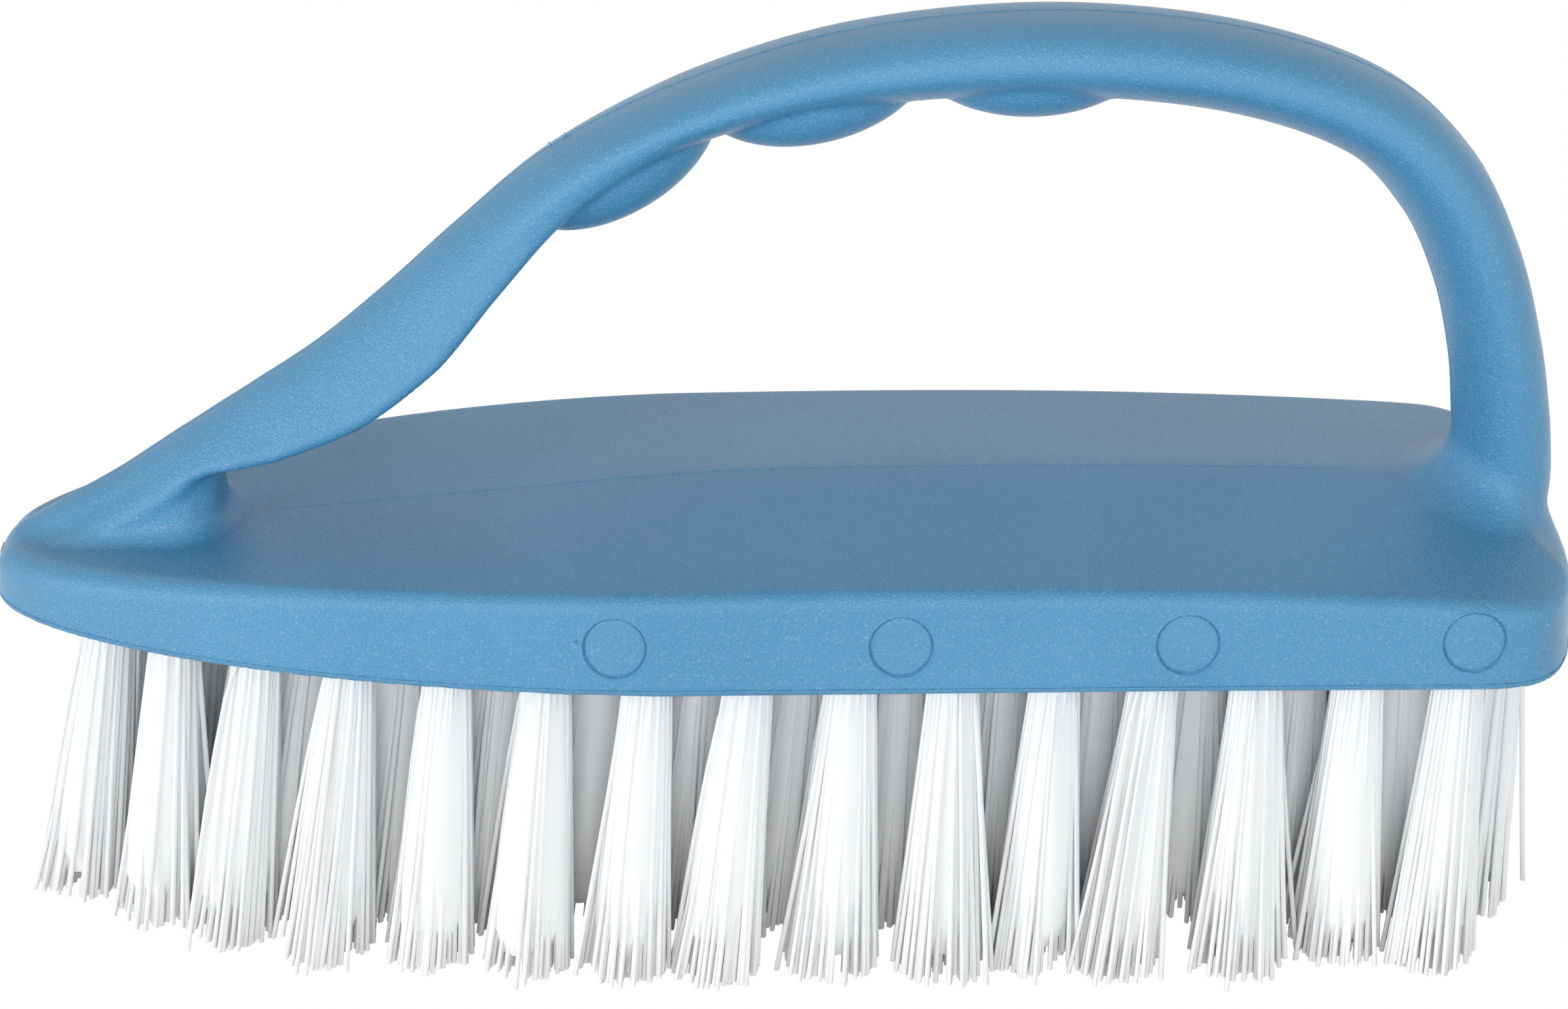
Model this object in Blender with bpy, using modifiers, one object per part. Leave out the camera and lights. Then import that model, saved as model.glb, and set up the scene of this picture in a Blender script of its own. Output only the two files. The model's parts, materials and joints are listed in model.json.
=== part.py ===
"""Hand scrubbing brush with a loop handle.

One blue moulding, shaped like a small iron, carries tufts of stiff white filament in its
underside. Metres, +Z up. The nose points to -X. The origin is on the flat plane of the
filament tips, under the middle of the moulding's length and width.
"""
import math

import bmesh
import bpy
import numpy as np
from mathutils import Matrix, Vector

# Block: the iron-shaped slab that holds the tufts
BLOCK_LENGTH = 0.1552
BLOCK_WIDTH = 0.0508
TAIL_WIDTH = 0.0486
WALL_HEIGHT = 0.0100
WALL_DRAFT = 0.0010
END_DRAFT = 0.0003
RIM_RADIUS = 0.0021
NOSE_RIM_RADIUS = 0.0034
NOSE_SINK = 0.0027
TAIL_SINK = 0.0016
CREST_MARGIN = 0.062
ROOF_RISE = 0.0026
NOSE_LENGTH = 0.0676
TAIL_LENGTH = 0.017
ROOF_NOSE_MARGIN = 0.012
ROOF_TAIL_MARGIN = 0.008

# Height of the roof's ridge above the rim, as a share of ROOF_RISE, at places along the
# block given as shares of half its length: the front is slightly dished
RIDGE_SHARES = (
    (-1.00, -0.50),
    (-0.70, -0.46),
    (-0.36, 0.10),
    (-0.06, 0.65),
    (0.39, 0.81),
    (0.79, 1.00),
    (1.00, 1.00),
)

# Exponents of the plan's curved ends, then the mesh's columns and steps
NOSE_POWERS = (1.68, 2.0)
TAIL_POWERS = (4.8, 2.0)
CURVE_SAMPLES = 400
PLAN_COLUMNS = 30
RIM_STEPS = 3
ROOF_CROWN_SHARE = 0.56

# Round witness marks of the mould's ejector pins, in a row along each wall
PIN_MARK_DIAMETER = 0.0060
PIN_MARK_DEPTH = 0.00018
PIN_MARK_PITCH = 0.0265
PIN_MARK_TAIL_MARGIN = 0.0127
PIN_MARK_COUNT = 4
PIN_MARK_SIDES = 16
PIN_MARK_REACH = 0.002

# Loop handle: a flattened bar that rises from the nose and comes down at the tail
HANDLE_RISE = 0.0444
HANDLE_WIDTH = 0.0148
HANDLE_THICKNESS = 0.0094
FOOT_FILLET = 0.0055
STRAP_FILLET = 0.0025
FLARE_SINK = 0.0004
FLARE_PASSES = 4
SECTION_POWER = 2.4
SECTION_SIDES = 20
HANDLE_STEPS = 3

# Each row is a place on the handle's centre line and its section there: along the block
# as a share of half its length, up from the wall top as a share of HANDLE_RISE, then
# outward, inward and sideways reach as shares of half the thickness and half the width
HANDLE_ROW_SHARES = (
    (-0.928, -0.110, 0.45, 0.85, 0.84),
    (-0.825, -0.012, 0.45, 1.50, 0.90),
    (-0.767, 0.048, 0.50, 1.50, 0.86),
    (-0.737, 0.080, 0.52, 0.98, 0.82),
    (-0.709, 0.109, 0.55, 0.26, 0.82),
    (-0.670, 0.144, 0.62, 0.46, 0.84),
    (-0.625, 0.182, 0.72, 0.65, 0.88),
    (-0.528, 0.275, 0.90, 0.85, 0.95),
    (-0.436, 0.404, 0.88, 0.90, 1.00),
    (-0.350, 0.561, 0.72, 0.70, 1.00),
    (-0.241, 0.736, 0.61, 0.61, 1.00),
    (-0.091, 0.880, 0.58, 0.59, 1.00),
    (0.103, 0.970, 0.71, 0.70, 1.00),
    (0.330, 1.000, 0.80, 0.77, 1.00),
    (0.550, 0.964, 0.80, 0.78, 1.00),
    (0.717, 0.865, 0.82, 0.79, 1.00),
    (0.811, 0.716, 0.87, 0.84, 1.00),
    (0.868, 0.532, 0.88, 0.87, 1.00),
    (0.901, 0.340, 0.92, 0.90, 1.00),
    (0.916, 0.187, 0.99, 0.93, 1.00),
    (0.922, 0.095, 1.02, 0.94, 1.00),
    (0.924, 0.047, 1.03, 0.95, 1.00),
    (0.924, 0.014, 1.03, 0.95, 1.00),
    (0.924, -0.056, 1.00, 0.95, 1.00),
)

# Three finger lobes under the arch: half sizes along, across and down, then each lobe's
# place along the block and how far it stands proud, as shares
LOBE_HALF_LENGTH = 0.0108
LOBE_HALF_WIDTH = 0.0056
LOBE_HALF_HEIGHT = 0.0060
LOBE_PROUD = 0.0037
LOBE_SHARES = ((-0.192, 1.00), (0.050, 0.95), (0.313, 0.72))
LOBE_SIDES = 20

# Tufts: filament bundles, each folded into a blind hole of the underside
FILAMENT_LENGTH = 0.033
HOLE_DIAMETER = 0.0050
HOLE_DEPTH = 0.0065
SEAT_CLEARANCE = 0.0003
TUFT_SPLAY = 0.0042
STRAND_RADIUS = 0.00062
STRAND_RING_RADIUS = 0.00145
STRANDS_IN_RING = 6
STRAND_SIDES = 3
STRAND_ROOT = 0.0012
NOSE_TIP_SHIFT = -0.0070
TAIL_TIP_SHIFT = 0.0009
HOLE_SIDES = 8

# Rows of tufts: half widths, and margins from the nose and the tail
OUTER_ROW_SIDE_MARGIN = 0.0045
OUTER_ROW_NOSE_MARGIN = 0.0105
OUTER_ROW_TAIL_MARGIN = 0.0126
OUTER_ROW_TUFTS = 15
FIRST_STEP_SHARE = 0.5
INNER_ROW_HALF_WIDTH = 0.0105
INNER_ROW_NOSE_MARGIN = 0.0141
INNER_ROW_FIRST_MARGIN = 0.0324
INNER_ROW_TAIL_MARGIN = 0.0064
INNER_ROW_TUFTS = 13
CENTRE_ROW_NOSE_MARGIN = 0.0269
CENTRE_ROW_TAIL_MARGIN = 0.0126
CENTRE_ROW_TUFTS = 13

# Slice of the block's underside that the middle row of tufts is fused to
SLICE_THICKNESS = 0.0020
SLICE_HALF_WIDTH = 0.0032
SLICE_END_STEPS = 4
SLICE_ROUND_SHARE = 0.9

CUT_OVERRUN = 0.002
MERGE_DISTANCE = 0.000002
CRISP_EDGE_DEGREES = 35

HALF_LENGTH = BLOCK_LENGTH / 2
HALF_WIDTH = BLOCK_WIDTH / 2
UNDERSIDE_Z = FILAMENT_LENGTH
WALL_TOP_Z = UNDERSIDE_Z + WALL_HEIGHT


def clear_scene():
    """Remove every object of the file that is open."""
    for old in list(bpy.data.objects):
        bpy.data.objects.remove(old, do_unlink=True)


def new_collection(name):
    """A collection of this name, linked to the scene."""
    collection = bpy.data.collections.new(name)
    bpy.context.scene.collection.children.link(collection)
    return collection


def make_material(name, colour, roughness):
    """A plain plastic, with its colour in linear light."""
    material = bpy.data.materials.new(name)
    material.use_nodes = True
    shader = material.node_tree.nodes["Principled BSDF"]
    shader.inputs["Base Color"].default_value = (*colour, 1.0)
    shader.inputs["Roughness"].default_value = roughness
    shader.inputs["Metallic"].default_value = 0.0
    material.diffuse_color = (*colour, 1.0)
    return material


def object_from_bmesh(name, mesh_data, collection, material=None):
    """Turn a bmesh into a named object, with its faces pointing outward."""
    bmesh.ops.recalc_face_normals(mesh_data, faces=mesh_data.faces)
    mesh = bpy.data.meshes.new(name)
    mesh_data.to_mesh(mesh)
    mesh_data.free()
    piece = bpy.data.objects.new(name, mesh)
    collection.objects.link(piece)
    if material is not None:
        mesh.materials.append(material)
    return piece


def as_cutter(piece):
    """Show a cutting or joining shape as wires only."""
    piece.hide_render = True
    piece.display_type = "WIRE"
    return piece


def add_boolean(piece, operand, operation):
    """Cut a piece with another shape, or join one to it."""
    modifier = piece.modifiers.new(operand.name, "BOOLEAN")
    modifier.operation = operation
    modifier.solver = "EXACT"
    modifier.object = operand


def bake(piece):
    """Replace a piece's mesh by the one that its modifiers make."""
    graph = bpy.context.evaluated_depsgraph_get()
    mesh = bpy.data.meshes.new_from_object(piece.evaluated_get(graph))
    piece.modifiers.clear()
    piece.data = mesh


# Plan of the block

def curved_end(angles, powers, length, half_width):
    """Points of a quarter of a superellipse: along from its wide end, and across."""
    along = length * np.cos(angles) ** (2 / powers[0])
    across = half_width * np.sin(angles) ** (2 / powers[1])
    return along, across


def plan_line(nose_margin=0.0, side_margin=0.0):
    """Fine points of half of the block's plan, from the nose's tip to the tail's middle.

    The margins draw the same outline further in, for what is laid out inside it.
    """
    half_width = HALF_WIDTH - side_margin
    tail_half_width = TAIL_WIDTH / 2 - side_margin
    wide_x = NOSE_LENGTH - HALF_LENGTH
    tail_x = HALF_LENGTH - TAIL_LENGTH
    angles = np.linspace(0, math.pi / 2, CURVE_SAMPLES)
    along, across = curved_end(angles, NOSE_POWERS, NOSE_LENGTH - nose_margin, half_width)
    nose = np.column_stack([wide_x - along, across])
    side_x = np.linspace(wide_x, tail_x, CURVE_SAMPLES)[1:-1]
    side_y = np.interp(side_x, (wide_x, tail_x), (half_width, tail_half_width))
    side = np.column_stack([side_x, side_y])
    along, across = curved_end(angles[::-1], TAIL_POWERS, TAIL_LENGTH, tail_half_width)
    tail = np.column_stack([tail_x + along, across])
    points = np.vstack([nose, side, tail])
    points[0, 1] = 0.0
    points[-1, 1] = 0.0
    return points


def plan_columns():
    """Points of the half plan for the block's mesh, closer together where it turns."""
    points = plan_line()
    step = np.diff(points, axis=0)
    length = np.linalg.norm(step, axis=1)
    heading = np.unwrap(np.arctan2(step[:, 1], step[:, 0]))
    turn = np.abs(np.diff(heading, prepend=heading[0]))
    weight = length / length.sum() + turn / turn.sum()
    travelled = np.concatenate([[0.0], np.cumsum(weight)])
    stops = np.linspace(0, travelled[-1], PLAN_COLUMNS)
    return np.column_stack([np.interp(stops, travelled, points[:, axis]) for axis in (0, 1)])


def half_width_at(x):
    """Half of the block's width at the underside, at places along it."""
    points = plan_line()
    return np.interp(x, np.maximum.accumulate(points[:, 0]), points[:, 1])


def outward_normals(points):
    """Unit normals of the half plan; on the middle plane they lie in that plane."""
    step = np.gradient(points, axis=0)
    normals = np.column_stack([-step[:, 1], step[:, 0]])
    normals[0] = (-1.0, 0.0)
    normals[-1] = (1.0, 0.0)
    return normals / np.linalg.norm(normals, axis=1)[:, None]


def rim_height(x):
    """Height of the wall's top: highest past mid-length, sinking to the nose and the tail."""
    crest = HALF_LENGTH - CREST_MARGIN
    to_nose = np.clip((crest - x) / (crest + HALF_LENGTH), 0.0, 1.0)
    to_tail = np.clip((x - crest) / CREST_MARGIN, 0.0, 1.0)
    return WALL_TOP_Z - NOSE_SINK * to_nose ** 2 - TAIL_SINK * to_tail ** 2


def ridge_height(x):
    """Height of the roof on the middle line."""
    places, rises = smooth_rows(np.array(RIDGE_SHARES), CURVE_SAMPLES).T
    return rim_height(x) + ROOF_RISE * np.interp(x / HALF_LENGTH, places, rises)


def roof_height(x, y):
    """Height of the roof anywhere, falling evenly from the ridge to the sides and the tail."""
    to_side = np.abs(y) / HALF_WIDTH
    to_tail = (x - HALF_LENGTH + ROOF_TAIL_MARGIN) / ROOF_TAIL_MARGIN
    share = np.clip(np.maximum(to_side, to_tail), 0.0, 1.0)
    return ridge_height(x) + (rim_height(x) - ridge_height(x)) * share


def wall_draft(y):
    """How far the wall leans in over its height: less where it rounds the two ends."""
    share = np.clip(np.abs(y) / HALF_WIDTH, 0.0, 1.0)
    return END_DRAFT + (WALL_DRAFT - END_DRAFT) * share


def rim_radius(x):
    """Rounding of the wall's top: broader round the nose."""
    share = np.clip((NOSE_LENGTH - HALF_LENGTH - x) / NOSE_LENGTH, 0.0, 1.0)
    return RIM_RADIUS + (NOSE_RIM_RADIUS - RIM_RADIUS) * share ** 2


def block_rows():
    """Rows of points of the half block, from the underside's edge up to the ridge."""
    plan = plan_columns()
    normals = outward_normals(plan)
    draft = wall_draft(plan[:, 1])
    radius = rim_radius(plan[:, 0])
    top = rim_height(plan[:, 0])
    rows = [np.column_stack([plan, np.full(len(plan), UNDERSIDE_Z)])]
    for step in range(RIM_STEPS + 1):
        angle = step / RIM_STEPS * math.pi / 2
        inward = draft + radius * (1 - math.cos(angle))
        places = plan - normals * inward[:, None]
        places[:, 1] = np.maximum(places[:, 1], 0.0)
        rows.append(np.column_stack([places, top - radius * (1 - math.sin(angle))]))
    rim = rows[-1]
    ridge = np.zeros_like(rim)
    ridge[:, 0] = np.clip(
        rim[:, 0], -HALF_LENGTH + ROOF_NOSE_MARGIN, HALF_LENGTH - ROOF_TAIL_MARGIN)
    ridge[:, 2] = ridge_height(ridge[:, 0])
    middle = (rim + ridge) / 2
    middle[:, 2] = rim[:, 2] + ROOF_CROWN_SHARE * (ridge[:, 2] - rim[:, 2])
    rows.append(middle)
    rows.append(ridge)
    return rows


def add_block(collection, material):
    """The slab with its leaning wall, rounded rim and low roof, mirrored from one half."""
    rows = block_rows()
    mesh_data = bmesh.new()
    grid = [[mesh_data.verts.new(point) for point in row] for row in rows]
    for low, high in zip(grid, grid[1:]):
        for column in range(len(low) - 1):
            corners = (low[column], low[column + 1], high[column + 1], high[column])
            mesh_data.faces.new(corners)
    mesh_data.faces.new(grid[0])
    bmesh.ops.remove_doubles(mesh_data, verts=mesh_data.verts, dist=MERGE_DISTANCE)
    bmesh.ops.dissolve_degenerate(mesh_data, edges=mesh_data.edges, dist=MERGE_DISTANCE)
    block = object_from_bmesh("brush_body", mesh_data, collection, material)
    face_up(block)
    mirror = block.modifiers.new("far half", "MIRROR")
    mirror.use_axis = (False, True, False)
    mirror.merge_threshold = MERGE_DISTANCE
    bake(block)
    return block


def face_up(piece):
    """Turn an open half shell so that its highest face points up."""
    mesh_data = bmesh.new()
    mesh_data.from_mesh(piece.data)
    top = max(mesh_data.faces, key=lambda face: face.calc_center_median().z)
    if top.normal.z < 0:
        bmesh.ops.reverse_faces(mesh_data, faces=mesh_data.faces)
    mesh_data.to_mesh(piece.data)
    mesh_data.free()


# Handle

def smooth_rows(rows, steps):
    """A smooth curve through rows of values, with each row's slope from its neighbours."""
    slopes = np.gradient(rows, axis=0)
    share = np.arange(steps) / steps
    s = share[:, None]
    pieces = []
    for first, second, slope_a, slope_b in zip(rows, rows[1:], slopes, slopes[1:]):
        start = (1 + 2 * s) * (1 - s) ** 2 * first + s * (1 - s) ** 2 * slope_a
        finish = s ** 2 * (3 - 2 * s) * second + s ** 2 * (s - 1) * slope_b
        pieces.append(start + finish)
    pieces.append(rows[-1:])
    return np.vstack(pieces)


def handle_rows():
    """Stations of the handle in metres: x, z, outward, inward and sideways reach."""
    sizes = (HALF_LENGTH, HANDLE_RISE, HANDLE_THICKNESS / 2, HANDLE_THICKNESS / 2,
             HANDLE_WIDTH / 2)
    rows = smooth_rows(np.array(HANDLE_ROW_SHARES), HANDLE_STEPS) * np.array(sizes)
    rows[:, 1] += WALL_TOP_Z
    return rows


def handle_frames(rows):
    """Unit directions along the handle and outward from it, in the middle plane."""
    step = np.gradient(rows[:, :2], axis=0)
    along = step / np.linalg.norm(step, axis=1)[:, None]
    outward = np.column_stack([-along[:, 1], along[:, 0]])
    return along, outward


def spread_foot(points, outward, up, side):
    """Flare the bar where it meets the roof, by a quarter circle, except on its back."""
    facing_back = np.maximum(up, 0.0) * np.maximum(outward[:, None, 0], 0.0)
    facing_in = np.minimum(up, 0.0) * np.maximum(outward[:, None, 0], 0.0)
    flared = points.copy()
    fillet = np.where(points[..., 0] > 0, FOOT_FILLET, STRAP_FILLET)
    room = half_width_at(points[..., 0]) - RIM_RADIUS
    for _ in range(FLARE_PASSES):
        above = points[..., 2] - roof_height(flared[..., 0], flared[..., 1]) + FLARE_SINK
        closeness = np.clip(1 - above / fillet, 0.0, 1.0)
        spread = fillet * (1 - np.sqrt(1 - closeness ** 2))
        sideways = points[..., 1] + side * (1 - facing_back) * spread
        flared[..., 1] = np.clip(sideways, -room, room)
        flared[..., 0] = points[..., 0] + facing_in * spread
    return flared


def add_handle(collection):
    """The bar as a loft of flattened sections, its ends sunk in the block."""
    rows = handle_rows()
    outward = handle_frames(rows)[1]
    angles = np.arange(SECTION_SIDES) / SECTION_SIDES * 2 * math.pi
    power = 2 / SECTION_POWER
    up = np.sign(np.sin(angles)) * np.abs(np.sin(angles)) ** power
    side = np.sign(np.cos(angles)) * np.abs(np.cos(angles)) ** power
    reach = np.where(up > 0, rows[:, 2:3], rows[:, 3:4]) * up
    points = np.zeros((len(rows), SECTION_SIDES, 3))
    points[..., 0] = rows[:, 0:1] + outward[:, 0:1] * reach
    points[..., 1] = rows[:, 4:5] * side
    points[..., 2] = rows[:, 1:2] + outward[:, 1:2] * reach
    points = spread_foot(points, outward, up, side)
    mesh_data = bmesh.new()
    rings = [[mesh_data.verts.new(point) for point in ring] for ring in points]
    for ring, following in zip(rings, rings[1:]):
        for corner in range(SECTION_SIDES):
            after = (corner + 1) % SECTION_SIDES
            mesh_data.faces.new((ring[corner], ring[after], following[after], following[corner]))
    mesh_data.faces.new(rings[0])
    mesh_data.faces.new(rings[-1])
    return as_cutter(object_from_bmesh("handle_bar", mesh_data, collection))


def add_lobe(number, place_share, proud_share, collection):
    """One finger lobe: the lower part of an egg shape, below the bar and in line with it."""
    rows = handle_rows()
    along = handle_frames(rows)[0]
    arch = rows[:, 1] > WALL_TOP_Z + HANDLE_RISE / 2
    x = place_share * HALF_LENGTH
    centre_z, reach_in = (np.interp(x, rows[arch, 0], rows[arch, column]) for column in (1, 3))
    slope = [np.interp(x, rows[arch, 0], along[arch, column]) for column in (0, 1)]
    tilt = math.atan2(slope[1], slope[0])
    drop = reach_in + LOBE_PROUD * proud_share - LOBE_HALF_HEIGHT
    mesh_data = bmesh.new()
    bmesh.ops.create_uvsphere(
        mesh_data, u_segments=LOBE_SIDES, v_segments=LOBE_SIDES // 2, radius=1)
    bmesh.ops.rotate(mesh_data, verts=mesh_data.verts, matrix=Matrix.Rotation(math.pi / 2, 3, "Y"))
    half_sizes = (LOBE_HALF_LENGTH, LOBE_HALF_WIDTH, LOBE_HALF_HEIGHT)
    bmesh.ops.scale(mesh_data, verts=mesh_data.verts, vec=half_sizes)
    bmesh.ops.translate(mesh_data, verts=mesh_data.verts, vec=(0.0, 0.0, -drop))
    everything = list(mesh_data.verts) + list(mesh_data.edges) + list(mesh_data.faces)
    cut = bmesh.ops.bisect_plane(
        mesh_data, geom=everything, plane_co=(0, 0, 0), plane_no=(0, 0, 1), clear_outer=True)
    rim = [item for item in cut["geom_cut"] if isinstance(item, bmesh.types.BMEdge)]
    bmesh.ops.contextual_create(mesh_data, geom=rim)
    bmesh.ops.rotate(mesh_data, verts=mesh_data.verts, matrix=Matrix.Rotation(-tilt, 3, "Y"))
    bmesh.ops.translate(mesh_data, verts=mesh_data.verts, vec=(x, 0.0, centre_z))
    return as_cutter(object_from_bmesh(f"finger_lobe_{number}", mesh_data, collection))


# Layout of the tufts

def along_path(points, distances):
    """Points at given distances along a line of points."""
    lengths = np.linalg.norm(np.diff(points, axis=0), axis=1)
    travelled = np.concatenate([[0.0], np.cumsum(lengths)])
    return np.column_stack([np.interp(distances, travelled, points[:, axis]) for axis in (0, 1)])


def distance_at_x(points, x):
    """Distance along a line of points to where it passes x."""
    lengths = np.linalg.norm(np.diff(points, axis=0), axis=1)
    travelled = np.concatenate([[0.0], np.cumsum(lengths)])
    rising = np.maximum.accumulate(points[:, 0])
    return np.interp(x, rising, travelled)


def outer_row():
    """Roots of the row along the edge: half a pitch from the nose, then even steps."""
    line = plan_line(OUTER_ROW_NOSE_MARGIN, OUTER_ROW_SIDE_MARGIN)
    reach = distance_at_x(line, HALF_LENGTH - OUTER_ROW_TAIL_MARGIN)
    pitch = reach / (OUTER_ROW_TUFTS - FIRST_STEP_SHARE)
    return along_path(line, (np.arange(OUTER_ROW_TUFTS) + FIRST_STEP_SHARE) * pitch)


def inner_row():
    """Roots of the row between the edge and the middle, standing in the others' gaps."""
    line = plan_line(INNER_ROW_NOSE_MARGIN, HALF_WIDTH - INNER_ROW_HALF_WIDTH)
    start = distance_at_x(line, INNER_ROW_FIRST_MARGIN - HALF_LENGTH)
    finish = distance_at_x(line, HALF_LENGTH - INNER_ROW_TAIL_MARGIN)
    return along_path(line, np.linspace(start, finish, INNER_ROW_TUFTS))


def centre_row():
    """Roots of the row on the middle line."""
    first = CENTRE_ROW_NOSE_MARGIN - HALF_LENGTH
    last = HALF_LENGTH - CENTRE_ROW_TAIL_MARGIN
    x = np.linspace(first, last, CENTRE_ROW_TUFTS)
    return np.column_stack([x, np.zeros_like(x)])


def tip_shift(x):
    """How far a tuft's tips lie from its root along X: swept to the nose at the front."""
    share = (x + HALF_LENGTH) / BLOCK_LENGTH
    return NOSE_TIP_SHIFT + (TAIL_TIP_SHIFT - NOSE_TIP_SHIFT) * share


def splay_of(root, roots):
    """Radius of a tuft at its tips, held back where a neighbour's tips are close."""
    tips = roots + np.column_stack([tip_shift(roots[:, 0]), np.zeros(len(roots))])
    tip = root + np.array([tip_shift(root[0]), 0.0])
    away = np.sort(np.linalg.norm(tips - tip, axis=1))[1]
    return min(TUFT_SPLAY, away / 2 - SEAT_CLEARANCE)


# Tufts and their holes

def add_strand(mesh_data, root, tip, top_z):
    """One strand: a three-sided bar from inside the root down to the plane of the tips."""
    made = bmesh.ops.create_cone(
        mesh_data, cap_ends=True, segments=STRAND_SIDES,
        radius1=STRAND_RADIUS, radius2=STRAND_RADIUS, depth=top_z)
    middle = top_z / 2
    for vert in made["verts"]:
        place = root if vert.co.z > 0 else tip
        vert.co = Vector((vert.co.x + place[0], vert.co.y + place[1], vert.co.z + middle))


def add_strands(mesh_data, root, roots):
    """A ring of strands round a middle one, fanning out from root to tips."""
    splay = splay_of(root, roots) - STRAND_RADIUS
    tip = (root[0] + tip_shift(root[0]), root[1])
    top_z = UNDERSIDE_Z + STRAND_ROOT
    add_strand(mesh_data, root, tip, top_z)
    for number in range(STRANDS_IN_RING):
        angle = number / STRANDS_IN_RING * 2 * math.pi
        ray = np.array([math.cos(angle), math.sin(angle)])
        add_strand(mesh_data, root + ray * STRAND_RING_RADIUS, tip + ray * splay, top_z)


def add_plug(mesh_data, root, radius, low_z, high_z):
    """A short upright cylinder between two levels."""
    centre = Vector((root[0], root[1], (low_z + high_z) / 2))
    bmesh.ops.create_cone(
        mesh_data, cap_ends=True, segments=HOLE_SIDES, radius1=radius, radius2=radius,
        depth=high_z - low_z, matrix=Matrix.Translation(centre))


def add_tuft(name, root, roots, collection, cutters, material):
    """A tuft: the packed root that fills its hole, with the strands fused to it."""
    mesh_data = bmesh.new()
    radius = HOLE_DIAMETER / 2 - SEAT_CLEARANCE
    high_z = UNDERSIDE_Z + HOLE_DEPTH - SEAT_CLEARANCE
    add_plug(mesh_data, root, radius, UNDERSIDE_Z, high_z)
    tuft = object_from_bmesh(name, mesh_data, collection, material)
    fuse_strands(tuft, [root], roots, cutters)
    return tuft


def fuse_strands(piece, own_roots, roots, cutters):
    """Join the strands of one or more tufts to the piece that carries them."""
    mesh_data = bmesh.new()
    for root in own_roots:
        add_strands(mesh_data, root, roots)
    strands = as_cutter(object_from_bmesh(f"{piece.name}_strands", mesh_data, cutters))
    add_boolean(piece, strands, "UNION")
    bake(piece)
    bpy.data.objects.remove(strands, do_unlink=True)


def add_slice(name, half_width, end_margin, low_z, high_z, collection, material=None):
    """A bar with round ends along the middle row, between two levels."""
    first, last = centre_row()[[0, -1], 0]
    centre = Vector(((first + last) / 2, 0.0, (low_z + high_z) / 2))
    length = last - first + 2 * (half_width + end_margin)
    size = Vector((length, 2 * half_width, high_z - low_z))
    mesh_data = bmesh.new()
    place = Matrix.Translation(centre) @ Matrix.Diagonal(size.to_4d())
    bmesh.ops.create_cube(mesh_data, size=1, matrix=place)
    upright = [edge for edge in mesh_data.edges if edge.verts[0].co.xy == edge.verts[1].co.xy]
    bmesh.ops.bevel(
        mesh_data, geom=upright, offset=half_width * SLICE_ROUND_SHARE,
        segments=SLICE_END_STEPS, affect="EDGES", profile=0.5)
    return object_from_bmesh(name, mesh_data, collection, material)


def add_holes(roots, cutters):
    """Cutter for the blind holes of the tufts."""
    mesh_data = bmesh.new()
    for root in roots:
        add_plug(mesh_data, root, HOLE_DIAMETER / 2, UNDERSIDE_Z - CUT_OVERRUN,
                 UNDERSIDE_Z + HOLE_DEPTH)
    return as_cutter(object_from_bmesh("tuft_holes", mesh_data, cutters))


def add_pin_marks(cutters):
    """Cutter for the shallow round marks, square to each leaning wall."""
    plan = plan_line()
    normals = outward_normals(plan)
    mesh_data = bmesh.new()
    for number in range(PIN_MARK_COUNT):
        x = HALF_LENGTH - PIN_MARK_TAIL_MARGIN - number * PIN_MARK_PITCH
        column = int(np.argmin(np.abs(plan[:, 0] - x)))
        flat_normal = normals[column]
        straight_height = rim_height(x) - rim_radius(x) - UNDERSIDE_Z
        lean = math.atan2(wall_draft(plan[column, 1]), straight_height)
        wall = plan[column] - flat_normal * (math.tan(lean) * WALL_HEIGHT / 2)
        for side in (-1, 1):
            across = math.cos(lean) * flat_normal * (1, side)
            normal = Vector((across[0], across[1], math.sin(lean)))
            centre = Vector((wall[0], side * wall[1], UNDERSIDE_Z + WALL_HEIGHT / 2))
            centre += normal * (PIN_MARK_REACH / 2 - PIN_MARK_DEPTH)
            turn = Vector((0.0, 0.0, 1.0)).rotation_difference(normal).to_matrix().to_4x4()
            bmesh.ops.create_cone(
                mesh_data, cap_ends=True, segments=PIN_MARK_SIDES,
                radius1=PIN_MARK_DIAMETER / 2, radius2=PIN_MARK_DIAMETER / 2,
                depth=PIN_MARK_REACH, matrix=Matrix.Translation(centre) @ turn)
    return as_cutter(object_from_bmesh("pin_marks", mesh_data, cutters))


def shade_round(piece):
    """Smooth shading, with the sharper edges left crisp."""
    piece.data.shade_smooth()
    piece.data.set_sharp_from_angle(angle=math.radians(CRISP_EDGE_DEGREES))


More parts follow.
